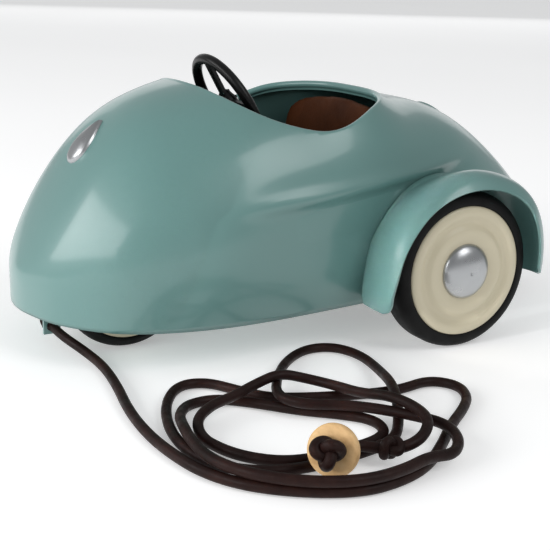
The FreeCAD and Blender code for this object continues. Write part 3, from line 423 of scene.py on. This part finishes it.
# ---------------------------------------------------------------- body form
# Ahead of the rear axle, belt half width, sill half width, belt height, crown height, fullness.
FRAMES = [
    (-88.5, 0.0, 0.0, 27.8, 28.3, 2.0), (-88, 4, 3.4, 28, 34.5, 2), (-86, 9, 8, 28.5, 38, 2),
    (-80, 16.5, 15, 29.5, 43.5, 2), (-66, 26.5, 24.2, 31, 56.5, 2.1),
    (-45, 37.5, 34.4, 33, 72.5, 2.3),
    (-20, 46, 42.5, 35, 85, 2.6), (6, 51, 47.2, 36, 91, 3.0), (28, 54, 49.6, 36, 99, 3.3),
    (48, 56.5, 52, 36, 98.5, 2.9), (72, 58, 54.4, 36, 97.5, 2.55), (92, 57.5, 54.6, 35, 93.8, 2.25),
    (112, 53, 51.2, 33, 84, 2.2), (128, 45, 44, 31, 66.5, 2.2), (138, 34.5, 33.8, 29, 51, 2.2),
    (144.6, 23, 22.6, 27, 39, 2.1), (147.8, 12.5, 12.3, 26, 32.5, 2), (149.2, 5, 4.9, 25, 28.5, 2),
    (149.45, 0.0, 0.0, 24.8, 25.3, 2.0),
]
SILL_HEIGHT = 15.5
FORM_MIDDLE = (FRAMES[0][0] + FRAMES[-1][0]) / 2
FORM_HALF = (FRAMES[-1][0] - FRAMES[0][0]) / 2


def turn_of(ahead):
    """The form's own lengthwise measure: even steps of it crowd towards both rounded ends."""
    return np.arccos(np.clip((np.asarray(ahead, float) - FORM_MIDDLE) / FORM_HALF, -1, 1))


LINES = [
    natural_spline([turn_of(f[0]) for f in reversed(FRAMES)], [f[k] for f in reversed(FRAMES)])
    for k in range(1, 6)
]
RIM_LINE = [(4.0, 91.4), (16.0, 89.6), (26.0, 87.2), (36.0, 83.2), (46.0, 80.8), (58.0, 82.2),
            (70.0, 86.0), (79.0, 90.6), (86.0, 95.2), (92.0, 99.5)]
rim_height = natural_spline([p[0] for p in RIM_LINE], [p[1] for p in RIM_LINE])


def section(ahead, inset):
    """The five form values at a place along the car, moved in by an inset."""
    belt, sill, belt_height, crown, fullness = (line(turn_of(ahead)) for line in LINES)
    belt = np.maximum(belt - inset, 0)
    sill = np.maximum(sill - inset, 0)
    crown = np.maximum(crown - inset, belt_height + 0.2)
    return belt, sill, belt_height, crown, np.maximum(fullness, 2.0)


def side_at(ahead, height, inset=0.0):
    """Half the body's width at a height."""
    belt, sill, belt_height, crown, fullness = section(ahead, inset)
    low = np.clip((height - SILL_HEIGHT) / (belt_height - SILL_HEIGHT), 0, 1)
    high = np.clip((height - belt_height) / (crown - belt_height), 0, 1)
    below = belt - (belt - sill) * (1 - low) ** 2
    return np.where(height < belt_height, below, belt * (1 - high**fullness) ** (1 / fullness))


def top_at(ahead, left, inset=0.0):
    """The body's height at a place in plan."""
    belt, _, belt_height, crown, fullness = section(ahead, inset)
    out = np.clip(np.abs(left) / np.maximum(belt, 0.01), 0, 1)
    return belt_height + (crown - belt_height) * (1 - out**fullness) ** (1 / fullness)


def shoulder_line(ahead):
    """Height of the pressed line along the side, which runs back into the fender."""
    back = 90.0 - ahead
    return 54.6 + 0.06 * back + 0.0004 * back**2


# The raised line pressed along each side, and the step in the sheet below it.
RIDGE_RISE, RIDGE_WIDTH = 1.3, 3.2
STEP_DEPTH, STEP_WIDTH = 1.4, 3.0
# The long low boss on top of the tail.
BOSS_AHEAD, BOSS_HALF_LENGTH, BOSS_HALF_WIDTH, BOSS_RISE = -35.0, 9.5, 4.6, 2.3


def pressed(points):
    """The side pressing and the tail boss, added to plain form points (in millimetres)."""
    ahead, left, up = points[:, 0], points[:, 1], points[:, 2]
    strength = smoothstep((97.0 - ahead) / 42.0) * smoothstep((ahead + 30.0) / 26.0)
    below = shoulder_line(ahead) - up
    step = smoothstep(below / STEP_WIDTH + 0.5) * (1 - smoothstep((below - 8.0) / 26.0))
    ridge = np.exp(-((below + 2.0) / RIDGE_WIDTH) ** 2)
    push = strength * (RIDGE_RISE * ridge - STEP_DEPTH * step)
    left += np.sign(left) * push * np.clip(np.abs(left) / 20.0, 0, 1)
    along = (ahead - BOSS_AHEAD) / BOSS_HALF_LENGTH
    width = BOSS_HALF_WIDTH * np.clip(0.62 + 0.38 * along, 0.12, 1.0)
    reach = along**2 + (left / width) ** 2
    boss = BOSS_RISE * np.sqrt(np.clip(1 - reach, 0, 1)) * (up > 50)
    points[:, 2] += boss
    return points


def skin(inset, drop, detail):
    """Points and faces of the body's skin, open at the bottom, before the cockpit is cut."""
    stations, arc = detail
    turns = np.linspace(0.0, math.pi, stations)
    ahead = FORM_MIDDLE + FORM_HALF * np.cos(turns)
    ahead = FORM_MIDDLE + (ahead - FORM_MIDDLE) * (1 - inset / FORM_HALF)
    low = np.linspace(0, 1, 10)[:-1]
    t = np.linspace(0, 1, arc)
    angle = math.pi / 2 * (t - 0.6 * np.sin(2 * math.pi * t) / (2 * math.pi))
    rows = []
    for x in ahead:
        belt, sill, belt_height, crown, fullness = (float(v) for v in section(x, inset))
        y_low = belt - (belt - sill) * (1 - low) ** 2
        z_low = SILL_HEIGHT + low * (belt_height - SILL_HEIGHT)
        y_up = belt * np.cos(angle) ** (2 / fullness)
        z_up = belt_height + (crown - belt_height) * np.sin(angle) ** (2 / fullness)
        y_up[-1] = 0.0
        y = np.concatenate([y_low, y_up])
        z = np.concatenate([z_low, z_up])
        y = np.concatenate([y, -y[-2::-1]])
        z = np.concatenate([z, z[-2::-1]])
        rows.append(np.stack([np.full_like(y, x), y, z], 1))
    columns = len(rows[0])
    points = np.concatenate(rows)
    if drop == 0:
        points = pressed(points)
    return points, grid_faces(stations, columns)


def cut_cockpit(bm, drop):
    """Cut the cockpit opening and give its edge as an ordered loop of vertices."""
    def over(v):
        ahead = (v.co.x - REAR_AXLE_X) / MM
        return v.co.z / MM - float(rim_height(ahead)) + drop if 1.0 < ahead < 95.0 else -1.0

    value = {v: over(v) for v in bm.verts}
    crossing = []
    for edge in [e for e in bm.edges if value[e.verts[0]] * value[e.verts[1]] < 0]:
        a, b = edge.verts
        share = value[a] / (value[a] - value[b])
        place = a.co.lerp(b.co, share)
        _, vertex = bmesh.utils.edge_split(edge, a, 0.5)
        vertex.co = place
        value[vertex] = 0.0
        crossing.append(vertex)
    for face in list(bm.faces):
        marks = [v for v in face.verts if value[v] == 0.0]
        if len(marks) == 2:
            try:
                bmesh.utils.face_split(face, marks[0], marks[1])
            except ValueError:
                pass
    bmesh.ops.delete(bm, geom=[v for v in bm.verts if value[v] > 0], context="VERTS")
    edge_of = {}
    for edge in bm.edges:
        if edge.is_boundary and all(v in value and value[v] == 0.0 for v in edge.verts):
            for v in edge.verts:
                edge_of.setdefault(v, []).append(edge)
    start = max(edge_of, key=lambda v: v.co.x)
    loop, edge = [start], edge_of[start][0]
    while True:
        nxt = edge.other_vert(loop[-1])
        if nxt is start or len(loop) > len(edge_of):
            break
        loop.append(nxt)
        edge = [e for e in edge_of[nxt] if e is not edge][0]
    return loop


# The rolled edge of the cockpit: how far inward and up each ring lies from the cut edge.
ROLL = [
    (0.35, 0.28), (0.8, 0.42), (1.35, 0.34), (1.9, 0.02), (2.25, -0.6), (2.3, -1.3), (2.05, -1.9),
    (1.6, -2.3), (1.1, -2.5), (1.0, -3.4),
]
SHELL_GAUGE = 1.2
INNER_DROP = 2.6


def roll_edge(bm, loop):
    """Turn the cockpit's edge inward and down in a rolled lip."""
    places = np.array([v.co[:] for v in loop])
    for _ in range(3):
        places = 0.5 * places + 0.25 * (np.roll(places, 1, 0) + np.roll(places, -1, 0))
    along = np.roll(places, -1, 0) - np.roll(places, 1, 0)
    inward = np.stack([-along[:, 1], along[:, 0], np.zeros(len(places))], 1)
    inward /= np.linalg.norm(inward, axis=1)[:, None]
    centre = places.mean(0)
    if ((centre - places) * inward).sum() < 0:
        inward = -inward
    for _ in range(8):
        inward = 0.5 * inward + 0.25 * (np.roll(inward, 1, 0) + np.roll(inward, -1, 0))
    inward /= np.linalg.norm(inward, axis=1)[:, None]
    before = loop
    for reach, rise in ROLL:
        ring = places + inward * reach * MM
        ring[:, 2] += rise * MM
        fresh = [bm.verts.new(p) for p in ring]
        for k in range(len(loop)):
            n = (k + 1) % len(loop)
            bm.faces.new((before[k], before[n], fresh[n], fresh[k]))
        before = fresh


def make_body():
    """The shell: an outer skin with a rolled edge, and an inner skin, joined at the sill."""
    detail = ((260, 64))
    bm = bmesh.new()
    for inset, drop in ((0.0, 0.0), (SHELL_GAUGE, INNER_DROP)):
        points, faces = skin(inset, drop, detail)
        points = points * MM + np.array([REAR_AXLE_X, 0, 0])
        part = bmesh.new()
        made = [part.verts.new(p) for p in points]
        for face in faces:
            part.faces.new([made[i] for i in face])
        bmesh.ops.remove_doubles(part, verts=part.verts, dist=2e-6)
        loop = cut_cockpit(part, drop)
        if drop == 0:
            roll_edge(part, loop)
        bmesh.ops.recalc_face_normals(part, faces=part.faces)
        # The inner skin takes the dark paint as painted shade, except near the rim at the rear of
        # the cockpit, where it keeps the body colour.
        if drop:
            for face in part.faces:
                face.normal_flip()
                ahead, _, up = face.calc_center_median() / MM
                ahead -= REAR_AXLE_X / MM
                near_rim = ahead < 36.0 and up > float(rim_height(max(ahead, 4.0))) - 9.0
                face.material_index = 0 if near_rim else 1
        mesh = bpy.data.meshes.new("part")
        part.to_mesh(mesh)
        bm.from_mesh(mesh)
        part.free()
        bpy.data.meshes.remove(mesh)
    sill = SILL_HEIGHT * MM
    rims = [e for e in bm.edges
            if e.is_boundary and all(abs(v.co.z - sill) < 1e-6 for v in e.verts)]
    bmesh.ops.bridge_loops(bm, edges=rims)
    mesh = bpy.data.meshes.new("body")
    bm.to_mesh(mesh)
    bm.free()
    mesh.polygons.foreach_set("use_smooth", [True] * len(mesh.polygons))
    item = add_object("body", mesh, "body", "car", replaces=("body_shell",))
    # Second slot: the dark paint, painted shade on the inner skin.
    mesh.materials.append(MATERIALS["under"])
    return item


make_body()


# ---------------------------------------------------------------- hood ornament
def make_ornament():
    """A domed chrome teardrop that follows the hood, its point towards the cockpit."""
    rings, spokes = 14, 64
    ahead_mid, half_length = 121.2, 10.7
    points = []
    for i in range(rings + 1):
        for j in range(spokes):
            r = min(i / (rings - 1), 1.0)
            a = 2 * math.pi * j / spokes
            down = math.cos(a)
            width = 6.6 * math.sin(a) * (0.5 + 0.5 * down) ** 0.55 * 1.22
            along, across = half_length * down * r, width * r
            dome = 0.45 + 1.9 * math.sqrt(1 - r**2.2) if i < rings else -0.4
            slope = math.radians(53)
            x = ahead_mid + along * math.cos(slope)
            z = float(top_at(x, across))
            normal = Vector((
                float(top_at(x - 0.2, across) - top_at(x + 0.2, across)) / 0.4,
                float(top_at(x, across - 0.2) - top_at(x, across + 0.2)) / 0.4,
                1.0,
            )).normalized()
            points.append(Vector(row(x, across, z)) + normal * dome * MM)
    faces = grid_faces(rings + 1, spokes, wrap_columns=True)
    mesh = mesh_from("ornament", points, faces)
    bm = bmesh.new()
    bm.from_mesh(mesh)
    bmesh.ops.remove_doubles(bm, verts=bm.verts, dist=1e-6)
    bmesh.ops.recalc_face_normals(bm, faces=bm.faces)
    bm.to_mesh(mesh)
    bm.free()
    return add_object("ornament", mesh, "chrome", "car", replaces=("hood_ornament",))


make_ornament()


# ---------------------------------------------------------------- fenders
FENDER_EDGE = 75.0
FENDER_FOOT, FENDER_END = -19.0, 188.0
FENDER_CORNER = 5.0
FENDER_WALL = 0.001
REAR_AXLE_HEIGHT = 30.0
# How far in from the fender's outer edge, and how much its arch has swollen there.
FENDER_SWELL = natural_spline([0, 1.6, 4, 7, 10.5, 14.5, 18.5, 22.5, 40],
                              [0, 2.6, 4.4, 5.2, 4.9, 3.4, 1.7, 0.8, 0.5])
# The outer edge's distance from the axle by angle, front foot first.
FENDER_REACH = natural_spline(
    [-19, -10, 0, 14, 30, 50, 70, 90, 108, 125, 140, 155, 170, 188],
    [36.4, 35.4, 33.4, 32.2, 31.4, 31.0, 30.8, 31.0, 31.8, 33.0, 33.6, 33.0, 32.0, 31.4],
)
# How far the arch dips where it meets the body, by angle, and where the dip starts from the edge.
FENDER_DIP = natural_spline([-19, -10, 0, 14, 30, 50, 70, 90, 188],
                            [3.2, 2.8, 1.8, 1.2, 1.3, 0.9, 0.3, 0.0, 0.0])
FENDER_DIP_START, FENDER_DIP_LENGTH = 17.5, 5.0


def crown_share(angle):
    """How much of its swell the arch has: little at the front foot, all of it behind the top."""
    front = float(smoothstep((angle + 19.0) / 45.0))
    behind = float(smoothstep((angle - 45.0) / 55.0))
    return 0.1 + 0.45 * front + 0.45 * behind


def make_fender(side):
    """A pressed arch over a rear wheel, from its rounded outer corners in to the body's side."""
    steps, strips = 120, 34
    points = []
    for angle in np.linspace(FENDER_FOOT, FENDER_END, steps):
        turn = math.radians(angle)
        reach = float(FENDER_REACH(angle))
        foot = math.radians(min(angle - FENDER_FOOT, FENDER_END - angle)) * reach
        short = max(0.0, FENDER_CORNER - foot)
        start = FENDER_CORNER - math.sqrt(max(0.0, FENDER_CORNER**2 - short**2))
        inner = 20.0
        share = crown_share(angle)
        dip = float(FENDER_DIP(angle))
        for _ in range(10):
            swell = (share * float(FENDER_SWELL(inner))
                     - dip * float(smoothstep((inner - FENDER_DIP_START) / FENDER_DIP_LENGTH)))
            x = (reach + swell) * math.cos(turn)
            z = REAR_AXLE_HEIGHT + (reach + swell) * math.sin(turn)
            inner = FENDER_EDGE - float(side_at(x, z))
        for j in range(strips):
            w = start + (inner + 0.4 - start) * (j / (strips - 1)) ** 1.3
            swell = (reach + share * float(FENDER_SWELL(w))
                     - dip * float(smoothstep((w - FENDER_DIP_START) / FENDER_DIP_LENGTH)))
            swell += 0.35 * math.exp(-((inner - w) / 0.9) ** 2)
            up = REAR_AXLE_HEIGHT + swell * math.sin(turn)
            points.append(row(swell * math.cos(turn), side * (FENDER_EDGE - w), up))
    faces = grid_faces(steps, strips)
    if side < 0:
        faces = [tuple(reversed(f)) for f in faces]
    name = "left" if side > 0 else "right"
    item = add_object(f"fender_{name}_pressed", mesh_from("fender", points, faces), "body", "car",
                      replaces=(f"fender_{name}",))
    wall = item.modifiers.new("wall", "SOLIDIFY")
    wall.thickness = FENDER_WALL
    wall.offset = -1.0
    edges = item.modifiers.new("edges", "BEVEL")
    edges.width = 0.00035
    edges.segments = 3
    edges.limit_method = "ANGLE"
    edges.angle_limit = math.radians(50)
    return item


for side in (1, -1):
    make_fender(side)


# ---------------------------------------------------------------- wheels
def make_wheel(corner, ahead, left, height, radius, disc, half):
    """Turned tyre, pressed outer disc and domed hubcap of one wheel, facing outward."""
    side = 1 if left > 0 else -1
    face = half + 0.5
    shoulder = [(disc + 0.05, half - 0.35), (disc + 0.5, half - 0.05), (disc + 1.3, half),
                (radius - 2.7, half - 0.2), (radius - 1.5, half - 0.75), (radius - 0.6, half - 1.8),
                (radius - 0.15, half - 3.0), (radius, half - 4.0)]
    tyre = [(disc - 3.2, half - 1.3), (disc, half - 1.25)] + shoulder
    tyre += [(r, -h) for r, h in reversed(tyre)]
    web = [(5.0, -0.9), (disc * 0.36, -0.9), (disc * 0.43, -0.75), (disc * 0.50, -0.3),
           (disc * 0.57, -0.02), (disc * 0.63, 0.0), (disc * 0.67, -0.3), (disc * 0.71, -1.0),
           (disc * 0.75, -1.35), (disc * 0.79, -1.1), (disc * 0.83, -0.4), (disc * 0.87, 0.0),
           (disc * 0.92, 0.0), (disc * 0.965, -0.15), (disc * 0.99, -0.5), (disc, -0.95)]
    plate = [(r, face + h) for r, h in web] + [(r, face + h - 0.8) for r, h in reversed(web)]
    cap_radius, dome = disc * 0.425, disc * 0.17
    cap = [(cap_radius * math.cos(a), face - 0.95 + dome * math.sin(a))
           for a in (math.pi / 2 * k / 14 for k in range(15))]
    cap[-1] = (0.01, cap[-1][1])
    cap += [(0.01, face - 1.2), (cap_radius, face - 1.2)]
    stand = Matrix.Translation(row(ahead, left, height)) @ Matrix.Rotation(
        -side * math.pi / 2, 4, "X")
    pieces = (("tyre", tyre, "rubber", "tyre"), ("disc_outer", plate, "cream", "wheel_paint"),
              ("hubcap", cap, "chrome", "chrome"))
    for what, profile, look, slot in pieces:
        mesh = turned_mesh(what, [(r * MM, h * MM) for r, h in profile], steps=160)
        mesh.transform(stand)
        node = f"{corner}_{what}"
        add_object(f"{node}_turned", mesh, look, f"{corner}_wheel", replaces=(node,))


for side, word in ((1, "left"), (-1, "right")):
    make_wheel(f"rear_{word}", 0.0, side * 64.4, REAR_AXLE_HEIGHT, 30.0, 24.6, 6.7)
    make_wheel(f"front_{word}", 112.5, side * 13.4, 24.0, 24.0, 19.8, 5.2)


# ---------------------------------------------------------------- steering hub
def make_hub_plate():
    """The round plate that the spokes are bolted to, with its ring of bolt heads."""
    profile = [(3.4, -0.5), (5.0, -0.5), (5.4, -0.3), (5.5, 0.0), (5.4, 0.35), (5.0, 0.6),
               (3.4, 0.6)]
    points, faces = [], []
    parts = [([(r * MM, h * MM) for r, h in profile], (0.0, 0.0))]
    bolt = [(0.01, -0.1), (0.62, -0.1), (0.62, 1.0), (0.5, 1.2), (0.01, 1.25)]
    circle = 4.4
    for k in range(6):
        a = math.radians(30 + 60 * k)
        parts.append(([(r * MM, h * MM) for r, h in bolt],
                      (circle * MM * math.cos(a), circle * MM * math.sin(a))))
    for shape, (across, along) in parts:
        mesh = turned_mesh("plate", shape, steps=48)
        first = len(points)
        points += [(v.co.x + across, v.co.y + along, v.co.z) for v in mesh.vertices]
        faces += [tuple(first + i for i in face.vertices) for face in mesh.polygons]
        bpy.data.meshes.remove(mesh)
    mesh = mesh_from("hub_plate", points, faces)
    column = Vector((-0.8445, 0.0, 0.5356)).to_track_quat("Z", "Y")
    mesh.transform(Matrix.Translation(row(62.1, 0, 86.95)) @ column.to_matrix().to_4x4())
    add_object("steering_hub_plate", mesh, "black", "steering")


make_hub_plate()


# ---------------------------------------------------------------- seat
def cushion(name, outline, thickness, place, turn, node, swell):
    """A padded leather cushion: an outline given depth, then filled by cloth simulation."""
    scale = 10.0
    bm = bmesh.new()
    rings = [(0.0, 0.955), (0.18, 0.99), (0.5, 1.0), (0.82, 0.99), (1.0, 0.955)]
    layers = []
    count = len(outline)
    centre = Vector((sum(p[0] for p in outline) / count, sum(p[1] for p in outline) / count))
    for depth, shrink in rings:
        layers.append([
            bm.verts.new(((centre.x + (x - centre.x) * shrink) * MM * scale,
                          (centre.y + (y - centre.y) * shrink) * MM * scale,
                          thickness * depth * MM * scale))
            for x, y in outline
        ])
    for a, b in zip(layers, layers[1:]):
        for k in range(len(outline)):
            n = (k + 1) % len(outline)
            bm.faces.new((a[k], a[n], b[n], b[k]))
    bm.faces.new(list(reversed(layers[0])))
    bm.faces.new(layers[-1])
    mesh = bpy.data.meshes.new(name)
    bm.to_mesh(mesh)
    bm.free()
    item = bpy.data.objects.new(name, mesh)
    bpy.context.scene.collection.objects.link(item)
    remesh = item.modifiers.new("remesh", "REMESH")
    remesh.mode = "VOXEL"
    remesh.voxel_size = 1.6 * MM * scale
    mesh = bake(item)
    start = np.array([v.co[:] for v in mesh.vertices])
    cloth = item.modifiers.new("cloth", "CLOTH")
    cloth.settings.use_pressure = True
    cloth.settings.uniform_pressure_force = 4.0
    cloth.settings.effector_weights.gravity = 0.0
    cloth.settings.tension_stiffness = 20.0
    cloth.settings.bending_stiffness = 2.0
    for number in range(1, 21):
        bpy.context.scene.frame_set(number)
    mesh = bake(item)
    bpy.context.scene.frame_set(1)
    now = np.array([v.co[:] for v in mesh.vertices])
    move = now - start
    size = np.linalg.norm(move, axis=1)[:, None]
    cap = swell * MM * scale
    move *= np.minimum(1.0, cap / np.maximum(size, 1e-9))
    mesh.vertices.foreach_set("co", (start + move).ravel())
    mesh.update()
    bpy.data.objects.remove(item)
    mesh.transform(Matrix.Translation(place) @ turn @ Matrix.Scale(1 / scale, 4))
    mesh.polygons.foreach_set("use_smooth", [True] * len(mesh.polygons))
    made = add_object(name, mesh, "leather", "car", replaces=(node,))
    smooth = made.modifiers.new("smooth", "SMOOTH")
    smooth.iterations = 6
    smooth.factor = 0.5
    finer = made.modifiers.new("finer", "SUBSURF")
    finer.levels = finer.render_levels = 1
    return made


def bake(item):
    """Apply an object's modifiers and give its new mesh."""
    graph = bpy.context.evaluated_depsgraph_get()
    mesh = bpy.data.meshes.new_from_object(item.evaluated_get(graph))
    item.modifiers.clear()
    item.data = mesh
    return mesh


def round_outline(half, front, rear, corner):
    """A plan outline with rounded corners: half width, front and rear."""
    points = []
    for cx, cy, start in (
            (front - corner, half - corner, 0), (rear + corner, half - corner, 90),
            (rear + corner, corner - half, 180), (front - corner, corner - half, 270)):
        for k in range(7):
            a = math.radians(start + 15 * k)
            points.append((cx + corner * math.cos(a), cy + corner * math.sin(a)))
    return points


def make_seat():
    """The two leather cushions: the seat, and its back leaning on the frame."""
    base = round_outline(36.4, 51.4, 21.6, 7.0)
    cushion("seat_cushion", base, 8.4, Vector(row(0, 0, 35.5)), Matrix.Identity(4),
            "seat_base", 1.2)
    half, height = 42.2, 51.6
    shoulder = [(1.0, 0.70), (0.97, 0.79), (0.92, 0.845), (0.82, 0.895), (0.66, 0.94),
                (0.45, 0.972), (0.22, 0.992)]
    arc = [(-half, 0.6), (half, 0.6)] + [(half * a, height * b) for a, b in shoulder]
    arc += [(0.0, height)] + [(-half * a, height * b) for a, b in reversed(shoulder)]
    upright = Matrix(((0, 0, 1, 0), (1, 0, 0, 0), (0, 1, 0, 0), (0, 0, 0, 1)))
    lean = Matrix.Rotation(math.radians(-6.0), 4, "Y")
    cushion("seat_back_cushion", arc, 5.6, Vector(row(13.8, 0, 35.9)), lean @ upright,
            "seat_back", 0.9)


make_seat()


# ---------------------------------------------------------------- stage
def softbox(name, place, target, width, height, power):
    data = bpy.data.lights.new(name, "AREA")
    data.shape = "RECTANGLE"
    data.size, data.size_y = width, height
    data.energy = power
    lamp = bpy.data.objects.new(name, data)
    lamp.matrix_world = Matrix.Translation(place) @ (
        Vector(target) - Vector(place)).to_track_quat("-Z", "Y").to_matrix().to_4x4()
    bpy.context.scene.collection.objects.link(lamp)
    return lamp


def bearing(azimuth, elevation, distance):
    """A place around the car, by compass angle, height angle and distance in metres."""
    a, e = math.radians(azimuth), math.radians(elevation)
    flat = distance * math.cos(e)
    return (flat * math.cos(a), flat * math.sin(a), distance * math.sin(e))


FLOOR_HALF = 40
FLOOR_UP = -0.0002


def make_stage():
    """A pale floor, a grey sky and soft lamps. The two that only fill in aren't reflected."""
    corners = [(-FLOOR_HALF, -FLOOR_HALF), (FLOOR_HALF, -FLOOR_HALF), (FLOOR_HALF, FLOOR_HALF),
               (-FLOOR_HALF, FLOOR_HALF)]
    floor = bpy.data.objects.new("floor", mesh_from(
        "floor", [(x, y, FLOOR_UP) for x, y in corners], [(0, 1, 2, 3)]))
    floor.data.materials.append(MATERIALS["floor"])
    bpy.context.scene.collection.objects.link(floor)
    world = bpy.data.worlds.new("studio")
    world.use_nodes = True
    background = world.node_tree.nodes["Background"]
    background.inputs[0].default_value = (0.97, 0.985, 1.0, 1.0)
    background.inputs[1].default_value = 0.39
    bpy.context.scene.world = world
    middle = (0.02, 0.0, 0.05)
    softbox("front", bearing(-6, 24, 1.6), middle, 2.00, 0.60, 15.0)
    softbox("side", bearing(113, 42, 1.6), middle, 0.68, 0.84, 6.0)
    softbox("back", bearing(-120, 15, 3.0), middle, 3.4, 1.1, 8.0)
    softbox("fill", bearing(4, 10, 1.9), middle, 0.8, 0.6, 11.0).visible_glossy = False
    kicker = softbox("kicker", (1.40, 0.21, 0.22), (0.0, 0.084, 0.036), 0.05, 0.08, 0.014)
    kicker.data.spread = math.radians(5)
    kicker.visible_glossy = False
    bpy.context.scene.view_settings.view_transform = "Standard"


make_stage()
